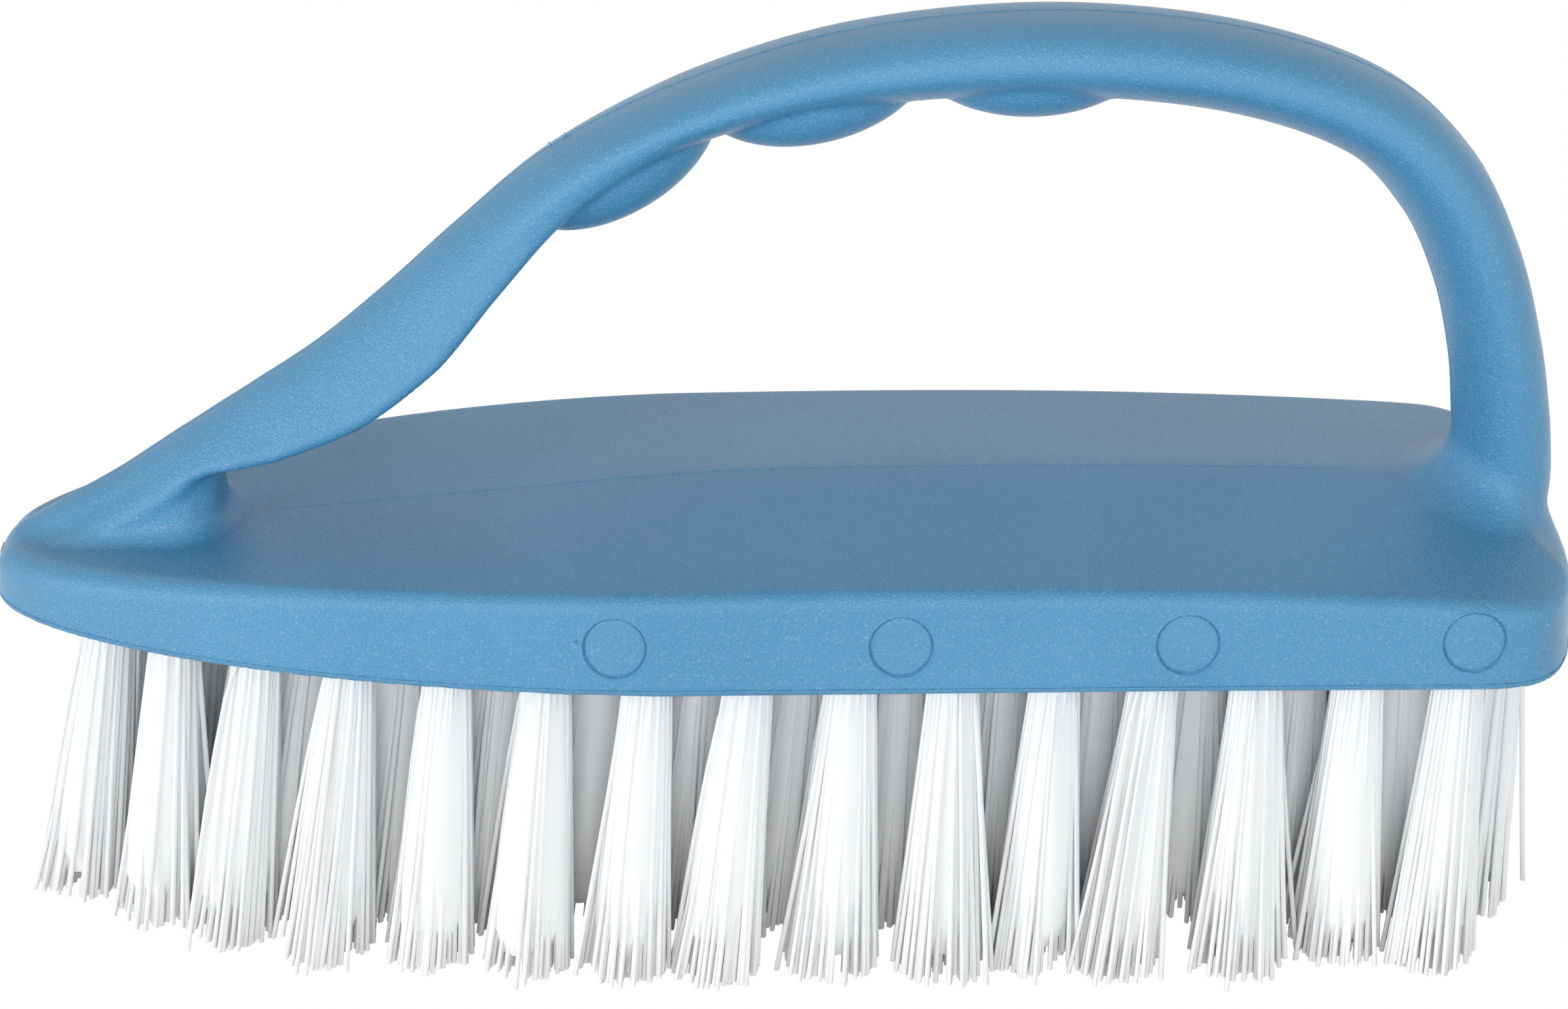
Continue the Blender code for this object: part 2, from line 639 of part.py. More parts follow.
def build():
    """The whole brush: the moulding, its tufts in their holes, and the middle row."""
    clear_scene()
    parts = new_collection("cleaning_brush")
    cutters = new_collection("cutters")
    blue = make_material("blue_moulding", (0.12, 0.37, 0.62), 0.45)
    white = make_material("white_filament", (0.86, 0.88, 0.88), 0.5)

    near_outer = outer_row() * (1, -1)
    far_outer = outer_row()
    near_inner = inner_row() * (1, -1)
    far_inner = inner_row()
    middle = centre_row()
    roots = np.vstack([near_outer, far_outer, near_inner, far_inner, middle])
    rows = {"near_outer": near_outer, "far_outer": far_outer,
            "near_inner": near_inner, "far_inner": far_inner}
    for row_name, row in rows.items():
        for number, root in enumerate(row, start=1):
            add_tuft(f"tuft_{row_name}_{number:02d}", root, roots, parts, cutters, white)

    slice_top = UNDERSIDE_Z + SLICE_THICKNESS
    carrier = add_slice("tuft_row_centre", SLICE_HALF_WIDTH, 0.0, UNDERSIDE_Z, slice_top,
                        parts, white)
    fuse_strands(carrier, list(middle), roots, cutters)

    body = add_block(parts, blue)
    add_boolean(body, add_handle(cutters), "UNION")
    for number, shares in enumerate(LOBE_SHARES, start=1):
        add_boolean(body, add_lobe(number, *shares, cutters), "UNION")
    drilled = np.vstack(list(rows.values()))
    add_boolean(body, add_holes(drilled, cutters), "DIFFERENCE")
    slot = add_slice("centre_slot", SLICE_HALF_WIDTH + SEAT_CLEARANCE, SEAT_CLEARANCE,
                     UNDERSIDE_Z - CUT_OVERRUN, slice_top + SEAT_CLEARANCE, cutters)
    add_boolean(body, as_cutter(slot), "DIFFERENCE")
    add_boolean(body, add_pin_marks(cutters), "DIFFERENCE")
    bake(body)
    for piece in parts.objects:
        shade_round(piece)
    print("tufts", len(roots), "strands", len(roots) * (STRANDS_IN_RING + 1))


build()
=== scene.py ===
# %% [markdown]
# # A hand scrubbing brush
# The brush is one blue plastic moulding, shaped like a small iron with a loop handle, and
# five rows of white filament tufts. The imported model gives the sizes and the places. This
# script gives each part the surface that shows: fillets, mould marks, single filaments and
# finishes. All lengths are in metres, and the brush stands on its filament tips at Z = 0.

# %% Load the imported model
import json
import math

import bpy
import numpy as np
from mathutils import Matrix, Vector

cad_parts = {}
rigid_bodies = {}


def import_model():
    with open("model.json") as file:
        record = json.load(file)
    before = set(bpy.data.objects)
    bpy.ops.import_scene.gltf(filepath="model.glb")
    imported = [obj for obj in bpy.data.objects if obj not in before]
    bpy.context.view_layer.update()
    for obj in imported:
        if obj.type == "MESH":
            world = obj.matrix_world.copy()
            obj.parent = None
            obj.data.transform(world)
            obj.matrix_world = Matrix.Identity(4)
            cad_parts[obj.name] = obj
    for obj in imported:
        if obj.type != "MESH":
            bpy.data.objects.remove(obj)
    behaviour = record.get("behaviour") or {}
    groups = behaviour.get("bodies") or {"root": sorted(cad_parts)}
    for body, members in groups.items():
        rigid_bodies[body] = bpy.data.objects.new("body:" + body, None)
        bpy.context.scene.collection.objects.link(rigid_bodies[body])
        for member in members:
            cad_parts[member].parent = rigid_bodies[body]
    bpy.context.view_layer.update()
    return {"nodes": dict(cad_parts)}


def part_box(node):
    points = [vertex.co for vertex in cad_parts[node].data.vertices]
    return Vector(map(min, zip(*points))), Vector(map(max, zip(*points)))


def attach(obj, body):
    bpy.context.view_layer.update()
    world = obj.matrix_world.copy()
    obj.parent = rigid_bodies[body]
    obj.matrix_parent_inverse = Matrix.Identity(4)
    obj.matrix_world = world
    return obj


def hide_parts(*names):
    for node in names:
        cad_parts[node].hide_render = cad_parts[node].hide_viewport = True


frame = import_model()

BODY_LOW, BODY_HIGH = (np.array(corner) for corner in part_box("brush_body"))
HALF_LENGTH = BODY_HIGH[0]
HALF_WIDTH = BODY_HIGH[1]
UNDERSIDE = BODY_LOW[2]
print("body, mm:", np.round((BODY_HIGH - BODY_LOW) * 1000, 1), "underside at", round(UNDERSIDE, 4))

# %% [markdown]
# # The camera
# The photograph was taken from the brush's long side, a little above it, with a lens about
# as long as 65 mm on a full-size sensor. The camera stands so far back that the perspective
# of the block's two long edges is the photograph's. A slight roll is the photographer's own.
# The camera could be set by eye; its numbers were fitted to edges of the block instead.

# %% Camera
CAMERA_LENS_MM = 64.716
SENSOR_WIDTH_MM = 36.0
CAMERA_DISTANCE = 0.281
CAMERA_ELEVATION = math.radians(25.6)
CAMERA_ROLL = math.radians(-0.34)
CAMERA_AIM = (0.00115, 0.0, 0.0408)
NEAREST_SEEN = 0.01


def new_object(name, data):
    """An object that holds this data, put in the scene."""
    item = bpy.data.objects.new(name, data)
    bpy.context.scene.collection.objects.link(item)
    return item


camera_data = bpy.data.cameras.new("camera")
camera_data.sensor_fit = "HORIZONTAL"
camera_data.sensor_width = SENSOR_WIDTH_MM
camera_data.lens = CAMERA_LENS_MM
camera_data.clip_start = NEAREST_SEEN
camera = new_object("camera", camera_data)
camera.location = (
    CAMERA_AIM[0],
    CAMERA_AIM[1] - CAMERA_DISTANCE * math.cos(CAMERA_ELEVATION),
    CAMERA_AIM[2] + CAMERA_DISTANCE * math.sin(CAMERA_ELEVATION),
)
tilt = Matrix.Rotation(math.pi / 2 - CAMERA_ELEVATION, 4, "X")
camera.rotation_euler = (tilt @ Matrix.Rotation(CAMERA_ROLL, 4, "Z")).to_euler()
bpy.context.scene.camera = camera
print("camera at", [round(value, 3) for value in camera.location])

# %% [markdown]
# # Turning arrays into pieces
# Every new piece is worked out as an array of points and a list of faces. One helper gives
# the faces of a grid, which may be closed on itself along either side, and others make tubes
# and beads of such grids. Blender's own primitives could be bent into place, but arrays say
# where each point goes. The last helpers hand a piece over, set it riding on the brush and
# give it its values.

# %% Helpers for pieces
def full_turn(count):
    """Even angles round a full turn."""
    return np.arange(count) / count * 2 * math.pi


def grid_faces(rows, columns, rows_closed=False, columns_closed=False):
    """Four-sided faces of a grid of points, numbered row by row.

    A face joins a point to the same place in the next row, and to the next place in both.
    Where a side is closed, the last row or column is followed by the first.
    """
    row = np.arange(rows if rows_closed else rows - 1)[:, None]
    column = np.arange(columns if columns_closed else columns - 1)[None, :]
    next_row = (row + 1) % rows
    next_column = (column + 1) % columns
    corners = (row * columns + column, next_row * columns + column,
               next_row * columns + next_column, row * columns + next_column)
    return np.stack(corners, axis=-1).reshape(-1, 4)


def tubes(lines, radii, sides):
    """Points and faces of a tube round each line, closed at both ends.

    Lines are an array of line by station by place, radii an array of line by station. The
    rings lie level, which suits lines that run mostly downward.
    """
    count, stations = radii.shape
    angle = full_turn(sides)
    ring = np.stack([np.cos(angle), np.sin(angle), np.zeros(sides)], axis=1)
    points = lines[:, :, None, :] + radii[:, :, None, None] * ring
    start = np.arange(count)[:, None] * stations * sides
    walls = grid_faces(stations, sides, columns_closed=True)[None] + start[..., None]
    first = np.arange(sides) + start
    last = first[:, ::-1] + (stations - 1) * sides
    return points.reshape(-1, 3), walls.reshape(-1, 4).tolist() + first.tolist() + last.tolist()


def bead(line, radii, sides, closed=False):
    """Points and faces of a thin bead along one line, its rings square to the line.

    Each ring lies in the plane of two directions: one square to the line's heading and to
    the direction in which the line bends least, and one square to both.
    """
    ahead = np.roll(line, -1, axis=0) - np.roll(line, 1, axis=0)
    if not closed:
        ahead[0], ahead[-1] = line[1] - line[0], line[-1] - line[-2]
    ahead /= np.linalg.norm(ahead, axis=1)[:, None]
    spread = np.abs(ahead).max(axis=0)
    side = np.cross(ahead, np.eye(3)[np.argmin(spread)])
    side /= np.linalg.norm(side, axis=1)[:, None]
    other = np.cross(ahead, side)
    angle = full_turn(sides)
    ring = (np.cos(angle)[None, :, None] * side[:, None]
            + np.sin(angle)[None, :, None] * other[:, None])
    points = line[:, None] + radii[:, None, None] * ring
    faces = grid_faces(len(line), sides, rows_closed=closed, columns_closed=True)[:, ::-1].tolist()
    if not closed:
        faces.append(np.arange(sides)[::-1].tolist())
        faces.append((np.arange(sides) + (len(line) - 1) * sides).tolist())
    return points.reshape(-1, 3), faces


def gathered(parts):
    """Several parts' points and faces as one part's."""
    points, faces = [], []
    for part_points, part_faces in parts:
        first = sum(len(item) for item in points)
        points.append(part_points)
        faces += [[corner + first for corner in face] for face in part_faces]
    return np.vstack(points), faces


print("a grid of 3 by 4 points has", len(grid_faces(3, 4)), "faces")

# %% Pieces and their values
def make_piece(name, points, faces, material, slot):
    """A piece from an array of points and a list of faces, riding on the brush."""
    mesh = bpy.data.meshes.new(name)
    mesh.from_pydata(points.tolist(), [], faces)
    mesh.materials.append(material)
    mesh.shade_smooth()
    mesh.validate()
    piece = new_object(name, mesh)
    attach(piece, "root")
    return piece


def add_values(piece, name, values):
    """Give each point of a piece a number, which a material can read under this name."""
    attribute = piece.data.attributes.new(name, "FLOAT", "POINT")
    attribute.data.foreach_set("value", values.astype(np.float32))


# %% [markdown]
# # Lines to measure from
# Both the block's outline, seen from above, and the handle's middle line, seen from the
# side, are flat curves. Everything about the moulding's shape can be said by how far a point
# lies from those two curves and how far along them it is, so that question gets one function.
# It finds the nearest of a few coarse points first and then slides along the fine line until
# the point lies square to it. Doing this for whole arrays keeps it quick.

# %% Lines and distances along them
def travelled_along(points):
    """Distance travelled along a line up to each of its points."""
    length = np.linalg.norm(np.diff(points, axis=0), axis=1)
    return np.concatenate([[0.0], np.cumsum(length)])


def measured(points):
    """A line of points with the distance travelled and the heading at each of them."""
    travelled = travelled_along(points)
    heading = np.gradient(points, travelled, axis=0)
    heading /= np.linalg.norm(heading, axis=1)[:, None]
    return points, travelled, heading


def read_off(travelled, columns, along):
    """Columns of values at distances along a line, straight between its points."""
    return np.stack([np.interp(along, travelled, column) for column in columns.T], axis=-1)


def evenly_spaced(points, count):
    """A line's points moved to even distances along it."""
    travelled = travelled_along(points)
    return read_off(travelled, points, np.linspace(0, travelled[-1], count))


quarter = full_turn(400)[:101]
quarter_circle = measured(np.column_stack([np.cos(quarter), np.sin(quarter)]))
print("a quarter circle's length over its radius:", round(quarter_circle[1][-1], 4))

# %% Nearest point of a curve
COARSE_POINTS = 160
SLIDES = 3
CHUNK = 20000


def coarse_along(line, places):
    """Distance along a line to the coarse point that is nearest to each place."""
    points, travelled, _ = line
    stride = max(1, len(points) // COARSE_POINTS)
    coarse = points[::stride].astype(np.float32)
    along = np.empty(len(places))
    for start in range(0, len(places), CHUNK):
        block = places[start:start + CHUNK].astype(np.float32)
        square = (block[:, None, 0] - coarse[None, :, 0]) ** 2
        square += (block[:, None, 1] - coarse[None, :, 1]) ** 2
        along[start:start + CHUNK] = travelled[::stride][square.argmin(axis=1)]
    return along


def nearest_on(line, places, along):
    """Slide from a first guess to the point of a line that is nearest to each place.

    Gives the distance along the line, the place's offset to the left of the line there, and
    how far it lies past an end, which is negative between the ends.
    """
    points, travelled, heading = line
    for _ in range(SLIDES):
        gap = places - read_off(travelled, points, along)
        direction = read_off(travelled, heading, along)
        along = np.clip(along + (gap * direction).sum(axis=1), 0.0, travelled[-1])
    gap = places - read_off(travelled, points, along)
    direction = read_off(travelled, heading, along)
    direction /= np.linalg.norm(direction, axis=1)[:, None]
    offset = gap[:, 1] * direction[:, 0] - gap[:, 0] * direction[:, 1]
    beyond = np.abs((gap * direction).sum(axis=1))
    return along, offset, beyond - np.minimum(along, travelled[-1] - along)


# %% [markdown]
# # The block's outline and roof
# From above, the block is a pointed arch at the nose, two nearly straight sides that close
# in a little, and a flat tail with round corners. The two ends are superellipses: the sum of
# two powers is one. The walls lean in slightly, so that the real block could leave its
# mould. The rim sinks to the nose and to the tail, and the roof is a low gable on it. The
# outline could be drawn by hand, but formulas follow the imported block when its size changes.

# %% Block: sizes and outline
WALL_HEIGHT = 0.0100
NOSE_LENGTH = 0.0676
TAIL_LENGTH = 0.017
TAIL_NARROWING = 0.0004
NOSE_OVERSHOOT = 0.0013
NOSE_BLUNTNESS = 0.0014
NOSE_SETBACK = 0.0003
NOSE_POWERS = (1.64, 2.0)
TAIL_POWERS = (5.6, 2.0)
WALL_DRAFT = 0.0010
END_DRAFT = 0.0003
CREST_X = HALF_LENGTH - 0.062
NOSE_SINK = 0.0027
TIP_SINK = 0.0007
TAIL_SINK = 0.0026
RIM_RADIUS = 0.0013
NOSE_RIM_RADIUS = 0.0024
BOTTOM_RADIUS = 0.0006
ROOF_RISE = 0.0026
RIDGE_SOFTNESS = 0.0016
TAIL_HIP = 0.008
LINE_POINTS = 1600

# Height of the ridge above the rim as a share of the roof's rise, at shares of half the length
RIDGE_SHARES = np.array([
    (-1.00, -0.50), (-0.70, -0.46), (-0.36, 0.10), (-0.06, 0.65),
    (0.39, 0.81), (0.79, 1.00), (1.00, 1.00),
])


def smooth_rows(rows, steps):
    """A smooth curve through rows of values: between two rows, a cubic that starts and ends
    with the slopes that each row's neighbours give it.
    """
    slopes = np.gradient(rows, axis=0)
    s = (np.arange(steps) / steps)[None, :, None]
    first, second = rows[:-1, None], rows[1:, None]
    leave, arrive = slopes[:-1, None], slopes[1:, None]
    curve = (1 + 2 * s) * (1 - s) ** 2 * first + s * (1 - s) ** 2 * leave
    curve = curve + s ** 2 * (3 - 2 * s) * second + s ** 2 * (s - 1) * arrive
    return np.vstack([curve.reshape(-1, rows.shape[1]), rows[-1:]])


def outline_points():
    """Half of the outline from the nose's tip to the middle of the tail.

    Each end is a quarter of a superellipse: its length times the cosine, and its half width
    times the sine, of an angle, each raised to two over that side's power. The nose's is a
    little too long, and its tip is blunted by a soft maximum: the mean of two values, plus
    half the root of the sum of the squares of their difference and of the bluntness. It is
    then set back by a small length times the square of the cosine.
    """
    wide_x = NOSE_LENGTH - HALF_LENGTH
    tail_x = HALF_LENGTH - TAIL_LENGTH
    tail_half_width = HALF_WIDTH - TAIL_NARROWING
    angle = np.linspace(0, math.pi / 2, LINE_POINTS)
    nose_x = wide_x - (NOSE_LENGTH + NOSE_OVERSHOOT) * np.cos(angle) ** (2 / NOSE_POWERS[0])
    limit = -HALF_LENGTH - NOSE_BLUNTNESS ** 2 / (4 * NOSE_OVERSHOOT)
    nose_x = (nose_x + limit + np.hypot(nose_x - limit, NOSE_BLUNTNESS)) / 2
    nose_x += NOSE_SETBACK * np.cos(angle) ** 2
    nose_x += (wide_x - nose_x[-1]) * angle / angle[-1]
    nose_y = HALF_WIDTH * np.sin(angle) ** (2 / NOSE_POWERS[1])
    tail_along = TAIL_LENGTH * np.cos(angle[::-1]) ** (2 / TAIL_POWERS[0])
    tail_y = tail_half_width * np.sin(angle[::-1]) ** (2 / TAIL_POWERS[1])
    nose = np.column_stack([nose_x, nose_y])
    tail = np.column_stack([tail_x + tail_along, tail_y])
    points = np.vstack([nose, tail])
    return evenly_spaced(points, LINE_POINTS)


OUTLINE = measured(outline_points())
print("half the outline, mm:", round(OUTLINE[1][-1] * 1000, 1))

# %% Block: rim and roof
RIDGE = smooth_rows(RIDGE_SHARES, steps=40)


def rim_height(x):
    """Height of the rim: level at the crest, then sinking with the square of the distance,
    and at the nose's tip with its eighth power as well.
    """
    to_nose = np.clip((CREST_X - x) / (CREST_X + HALF_LENGTH), 0.0, 1.0)
    to_tail = np.clip((x - CREST_X) / (HALF_LENGTH - CREST_X), 0.0, 1.0)
    sink = NOSE_SINK * to_nose ** 2 + TIP_SINK * to_nose ** 8 + TAIL_SINK * to_tail ** 2
    return UNDERSIDE + WALL_HEIGHT - sink


def roof_height(x, y):
    """Height of the roof: the ridge's height over the rim, shrinking evenly to nothing at
    the sides and the tail. The ridge is softened by the root of a sum of squares.
    """
    ridge = ROOF_RISE * np.interp(x / HALF_LENGTH, RIDGE[:, 0], RIDGE[:, 1])
    to_side = (np.hypot(y, RIDGE_SOFTNESS) - RIDGE_SOFTNESS) / (HALF_WIDTH - RIDGE_SOFTNESS)
    to_tail = (x - HALF_LENGTH + TAIL_HIP) / TAIL_HIP
    share = np.clip(np.maximum(to_side, to_tail), 0.0, 1.0)
    return rim_height(x) + ridge * (1 - share)


def rim_radius(x):
    """Rounding of the rim, which grows with the square of the way to the nose's tip."""
    to_nose = np.clip((NOSE_LENGTH - HALF_LENGTH - x) / NOSE_LENGTH, 0.0, 1.0)
    return RIM_RADIUS + (NOSE_RIM_RADIUS - RIM_RADIUS) * to_nose ** 2


print("roof at mid-length, mm:", round(float(roof_height(0.0, 0.0)) * 1000, 2))

# %% [markdown]
# # The handle's route and section
# The handle rises from the nose as a flat strap, thickens over the fingers, turns down at
# the tail and meets the roof as a leg. Each row of the table is a place on its middle line
# and the section there: how far it reaches outward, inward and sideways. The section is two
# halves of superellipses: its crown is fuller than an ellipse, and its underside leaner. It
# could be a swept curve, but a formula for it joins more easily with the block's.

# %% Handle: route and section
HANDLE_RISE = 0.0444
HANDLE_WIDTH = 0.0148
HANDLE_THICKNESS = 0.0094
CROWN_POWER = 2.4
UNDER_POWER = 1.6
UNDER_SWELL = 0.16
LEAST_GAUGE = 1e-3

# Along the block as a share of half its length, up from the rim as a share of the handle's
# rise, then outward, inward and sideways as shares of half the thickness and half the width
HANDLE_SHARES = np.array([
    (-1.010, -0.182, 0.48, 0.85, 0.42),
    (-0.928, -0.108, 0.54, 0.85, 0.54),
    (-0.825, -0.012, 0.58, 1.50, 0.68),
    (-0.767, 0.048, 0.62, 1.50, 0.78),
    (-0.737, 0.080, 0.64, 0.98, 0.84),
    (-0.709, 0.109, 0.66, 0.26, 0.88),
    (-0.670, 0.144, 0.74, 0.46, 0.94),
    (-0.625, 0.182, 0.84, 0.65, 0.98),
    (-0.528, 0.275, 1.00, 0.85, 1.04),
    (-0.436, 0.404, 1.02, 0.90, 1.04),
    (-0.350, 0.561, 0.86, 0.70, 1.02),
    (-0.241, 0.736, 0.70, 0.61, 1.00),
    (-0.091, 0.880, 0.58, 0.59, 1.00),
    (0.103, 0.970, 0.71, 0.70, 1.00),
    (0.330, 1.000, 0.80, 0.77, 1.00),
    (0.550, 0.964, 0.80, 0.78, 1.00),
    (0.717, 0.865, 0.82, 0.79, 1.00),
    (0.811, 0.716, 0.87, 0.84, 1.00),
    (0.868, 0.532, 0.88, 0.87, 1.00),
    (0.901, 0.340, 0.92, 0.90, 1.00),
    (0.916, 0.187, 0.99, 0.93, 1.00),
    (0.922, 0.095, 1.02, 0.94, 1.00),
    (0.924, 0.047, 1.03, 0.95, 1.00),
    (0.924, 0.014, 1.03, 0.95, 1.00),
    (0.924, -0.056, 1.00, 0.95, 1.00),
])
HANDLE_UNITS = np.array([HALF_LENGTH, HANDLE_RISE, HANDLE_THICKNESS / 2, HANDLE_THICKNESS / 2,
                         HANDLE_WIDTH / 2])
HANDLE_ROWS = smooth_rows(HANDLE_SHARES, steps=60) * HANDLE_UNITS
HANDLE_ROWS[:, 1] += UNDERSIDE + WALL_HEIGHT
ROUTE = measured(HANDLE_ROWS[:, :2])


def section_gap(offset, across, outward, inward, sideways):
    """How far a point lies outside a section.

    A point's gauge is the root of the sum of its two shares of the reaches, each raised to
    the section's power: one on the edge. The gap is the gauge less one, over its slope. The
    crown's power is fuller than a circle's and the underside's leaner, so that the two meet
    at each side in a tight curve, the soft edge that runs along the whole handle.
    """
    power = np.where(offset > 0, CROWN_POWER, UNDER_POWER)
    reach = np.where(offset > 0, outward, inward)
    up = np.abs(offset) / reach
    side = np.abs(across) / sideways
    gauge = np.maximum((up ** power + side ** power) ** (1 / power), LEAST_GAUGE)
    slope_up = (up / gauge) ** (power - 1) / reach
    slope_side = (side / gauge) ** (power - 1) / sideways
    return (gauge - 1) / np.hypot(slope_up, slope_side)


print("handle route, mm:", round(ROUTE[1][-1] * 1000, 1))

# %% [markdown]
# # One formula for the whole moulding
# The block, the handle and the finger lobes could be joined by a Boolean, but a moulding has
# no seams: a fillet runs round each foot of the handle. So the whole body is one formula
# that says how far a point lies outside it. Two shapes meet with a round corner where their
# two gaps are joined through the length of a right-angled triangle, as if a ball had rolled
# along the corner. The surface is where the formula gives nothing.

# %% Joining two shapes
def joined(gap_a, gap_b, radius):
    """Gap to two shapes joined, with a fillet of this radius in the corner between them."""
    near_a = np.maximum(radius - gap_a, 0.0)
    near_b = np.maximum(radius - gap_b, 0.0)
    return np.maximum(radius, np.minimum(gap_a, gap_b)) - np.hypot(near_a, near_b)


def shared(gap_a, gap_b, radius):
    """Gap to what two shapes have in common, with its outer corner rounded."""
    deep_a = np.maximum(radius + gap_a, 0.0)
    deep_b = np.maximum(radius + gap_b, 0.0)
    return np.minimum(-radius, np.maximum(gap_a, gap_b)) + np.hypot(deep_a, deep_b)


print("gap in a corner, both faces 0.4 mm away, 1 mm fillet, mm:",
      round(float(joined(0.0004, 0.0004, 0.001)) * 1000, 3))

# %% [markdown]
# # Finger lobes
# Three lobes under the arch keep the fingers apart. Hollows cut between them would need a
# thicker bar, which the photograph doesn't show: each lobe is a bump of its own on the bar's
# underside. So each is half an egg. Its flat side lies on the handle's middle line, inside
# the bar, and its long side follows the arch.

# %% Finger lobes
LOBE_HALF_SIZES = np.array([0.0108, 0.0056, 0.0060])
LOBE_PROUD = 0.0037

# Each lobe's place as a share of half the length, and how proud it stands as a share
LOBE_SHARES = ((-0.192, 1.00), (0.050, 0.95), (0.313, 0.72))


def lobe_frame(place_share, proud_share):
    """A finger lobe's centre, and its heading along the underside of the arch."""
    arch = HANDLE_ROWS[:, 1] > UNDERSIDE + WALL_HEIGHT + HANDLE_RISE / 2
    x = place_share * HALF_LENGTH
    route_x = HANDLE_ROWS[arch, 0]
    z, inward = (np.interp(x, route_x, HANDLE_ROWS[arch, column]) for column in (1, 3))
    heading = np.array([np.interp(x, route_x, ROUTE[2][arch, axis]) for axis in (0, 1)])
    heading /= np.linalg.norm(heading)
    drop = inward + LOBE_PROUD * proud_share - LOBE_HALF_SIZES[2]
    centre = np.array([x + heading[1] * drop, z - heading[0] * drop])
    return centre, heading


LOBES = [lobe_frame(*shares) for shares in LOBE_SHARES]


def lobes_gap(x, y, z):
    """Gap to the nearest finger lobe, an egg shape cut off at the arch's middle line.

    The gap to an egg is its gauge times the gauge less one, over the length of the slope.
    """
    nearest = np.full(np.broadcast(x, y, z).shape, 1.0)
    for centre, heading in LOBES:
        along = (x - centre[0]) * heading[0] + (z - centre[1]) * heading[1]
        up = (z - centre[1]) * heading[0] - (x - centre[0]) * heading[1]
        shares = np.stack(np.broadcast_arrays(along, y, up), axis=-1) / LOBE_HALF_SIZES
        gauge = np.sqrt((shares ** 2).sum(axis=-1))
        slope = np.sqrt(((shares / LOBE_HALF_SIZES) ** 2).sum(axis=-1))
        gap = gauge * (gauge - 1) / np.maximum(slope, LEAST_GAUGE)
        nearest = np.minimum(nearest, gap)
    return nearest


print("lobe centres, mm:", [np.round(centre * 1000, 1).tolist() for centre, _ in LOBES])

# %% [markdown]
# # Bar, leaf and web
# Over the fingers and down the tail the handle is a round bar. Towards the nose it turns into
# a strap whose section is a leaf: an arched crown over a flat underside, with a soft lip on
# each side. Under the strap's root stands a web, a low wall that ties it to the roof. Sections
# could be drawn and lofted instead, but then every fillet would need a patch of its own.

# %% Bar, leaf and web
WEB_HALF_WIDTH = 0.0050
WEB_FLARE = 0.27
WEB_END_X = 0.0231 - HALF_LENGTH
WEB_CORNER = 0.0048
WEB_TOP_RADIUS = 0.0012
LIP_RADIUS = 0.0013

# The strap's leaf section: its place as a share of half the length, how far the section is
# a leaf instead of a round bar, and the leaf's depth as a share of half the thickness
LEAF_SHARES = np.array([
    (-1.000, 1.00, 0.20), (-0.737, 1.00, 0.20), (-0.709, 1.00, 0.24), (-0.670, 1.00, 0.40),
    (-0.625, 1.00, 0.56), (-0.528, 1.00, 0.72), (-0.436, 1.00, 0.74), (-0.350, 0.85, 0.62),
    (-0.241, 0.45, 0.50), (-0.091, 0.08, 0.45), (0.103, 0.00, 0.42),
])


def bar_gap(along, offset, y):
    """Gap to the handle's bar: round over the fingers, and a leaf on the strap.

    A leaf is what an arched crown and a flat underside have in common, with a narrow lip
    where they meet. The crown falls with the square of the way to the side, and its gap is
    the height above it, shortened by its slope. Between the two shapes, the gap is a mean of
    their gaps.
    """
    outward, inward, sideways = (np.interp(along, ROUTE[1], HANDLE_ROWS[:, column])
                                 for column in (2, 3, 4))
    place = np.interp(along, ROUTE[1], ROUTE[0][:, 0]) / HALF_LENGTH
    leaf_share = np.interp(place, LEAF_SHARES[:, 0], LEAF_SHARES[:, 1])
    depth = np.interp(place, LEAF_SHARES[:, 0], LEAF_SHARES[:, 2]) * HANDLE_THICKNESS / 2
    fall = (outward + depth) / sideways ** 2
    crown = (offset - outward + fall * y ** 2) / np.hypot(1.0, 2 * fall * y)
    leaf = shared(crown, -offset - depth, LIP_RADIUS)
    level = np.abs(np.interp(along, ROUTE[1], ROUTE[2][:, 0]))
    bar = section_gap(offset, y, outward, inward * (1 + UNDER_SWELL * level ** 2), sideways)
    return (1 - leaf_share) * bar + leaf_share * leaf


def web_gap(x, y, offset):
    """Gap to the web under the strap's root: a wall with a round end, wider at its foot."""
    half_width = WEB_HALF_WIDTH - WEB_FLARE * np.minimum(offset, 0.0)
    plan = shared(np.abs(y) - half_width, x - WEB_END_X, WEB_CORNER)
    return shared(plan, offset, WEB_TOP_RADIUS)


print("the leaf ends at x, mm:", round(LEAF_SHARES[-1, 0] * HALF_LENGTH * 1000, 1))

# %% [markdown]
# # The whole moulding
# The bar takes on the web and the lobes, then the block takes on the bar, each with its own
# fillet. A point is settled on the surface by moving it by its gap, against the direction in
# which the gap grows. That direction comes from probing a hundredth of a millimetre away.

# %% Body formula
STRAP_FILLET = 0.0014
LOBE_FILLET = 0.00030
HANDLE_SINK = 0.003
PROBE = 0.00001
LEAST_SLOPE = 1e-12

# Fillet between the handle and the roof: places along the block, and the radius at each
FILLET_PLACES = np.array([-0.0776, -0.0720, -0.0680, -0.0630, -0.0575, -0.0535,
                          0.0500, 0.0640, 0.0720, 0.0776])
FILLET_RADII = np.array([0.0010, 0.0010, 0.0012, 0.0016, 0.0020, 0.0020,
                         0.0014, 0.0058, 0.0042, 0.0012])


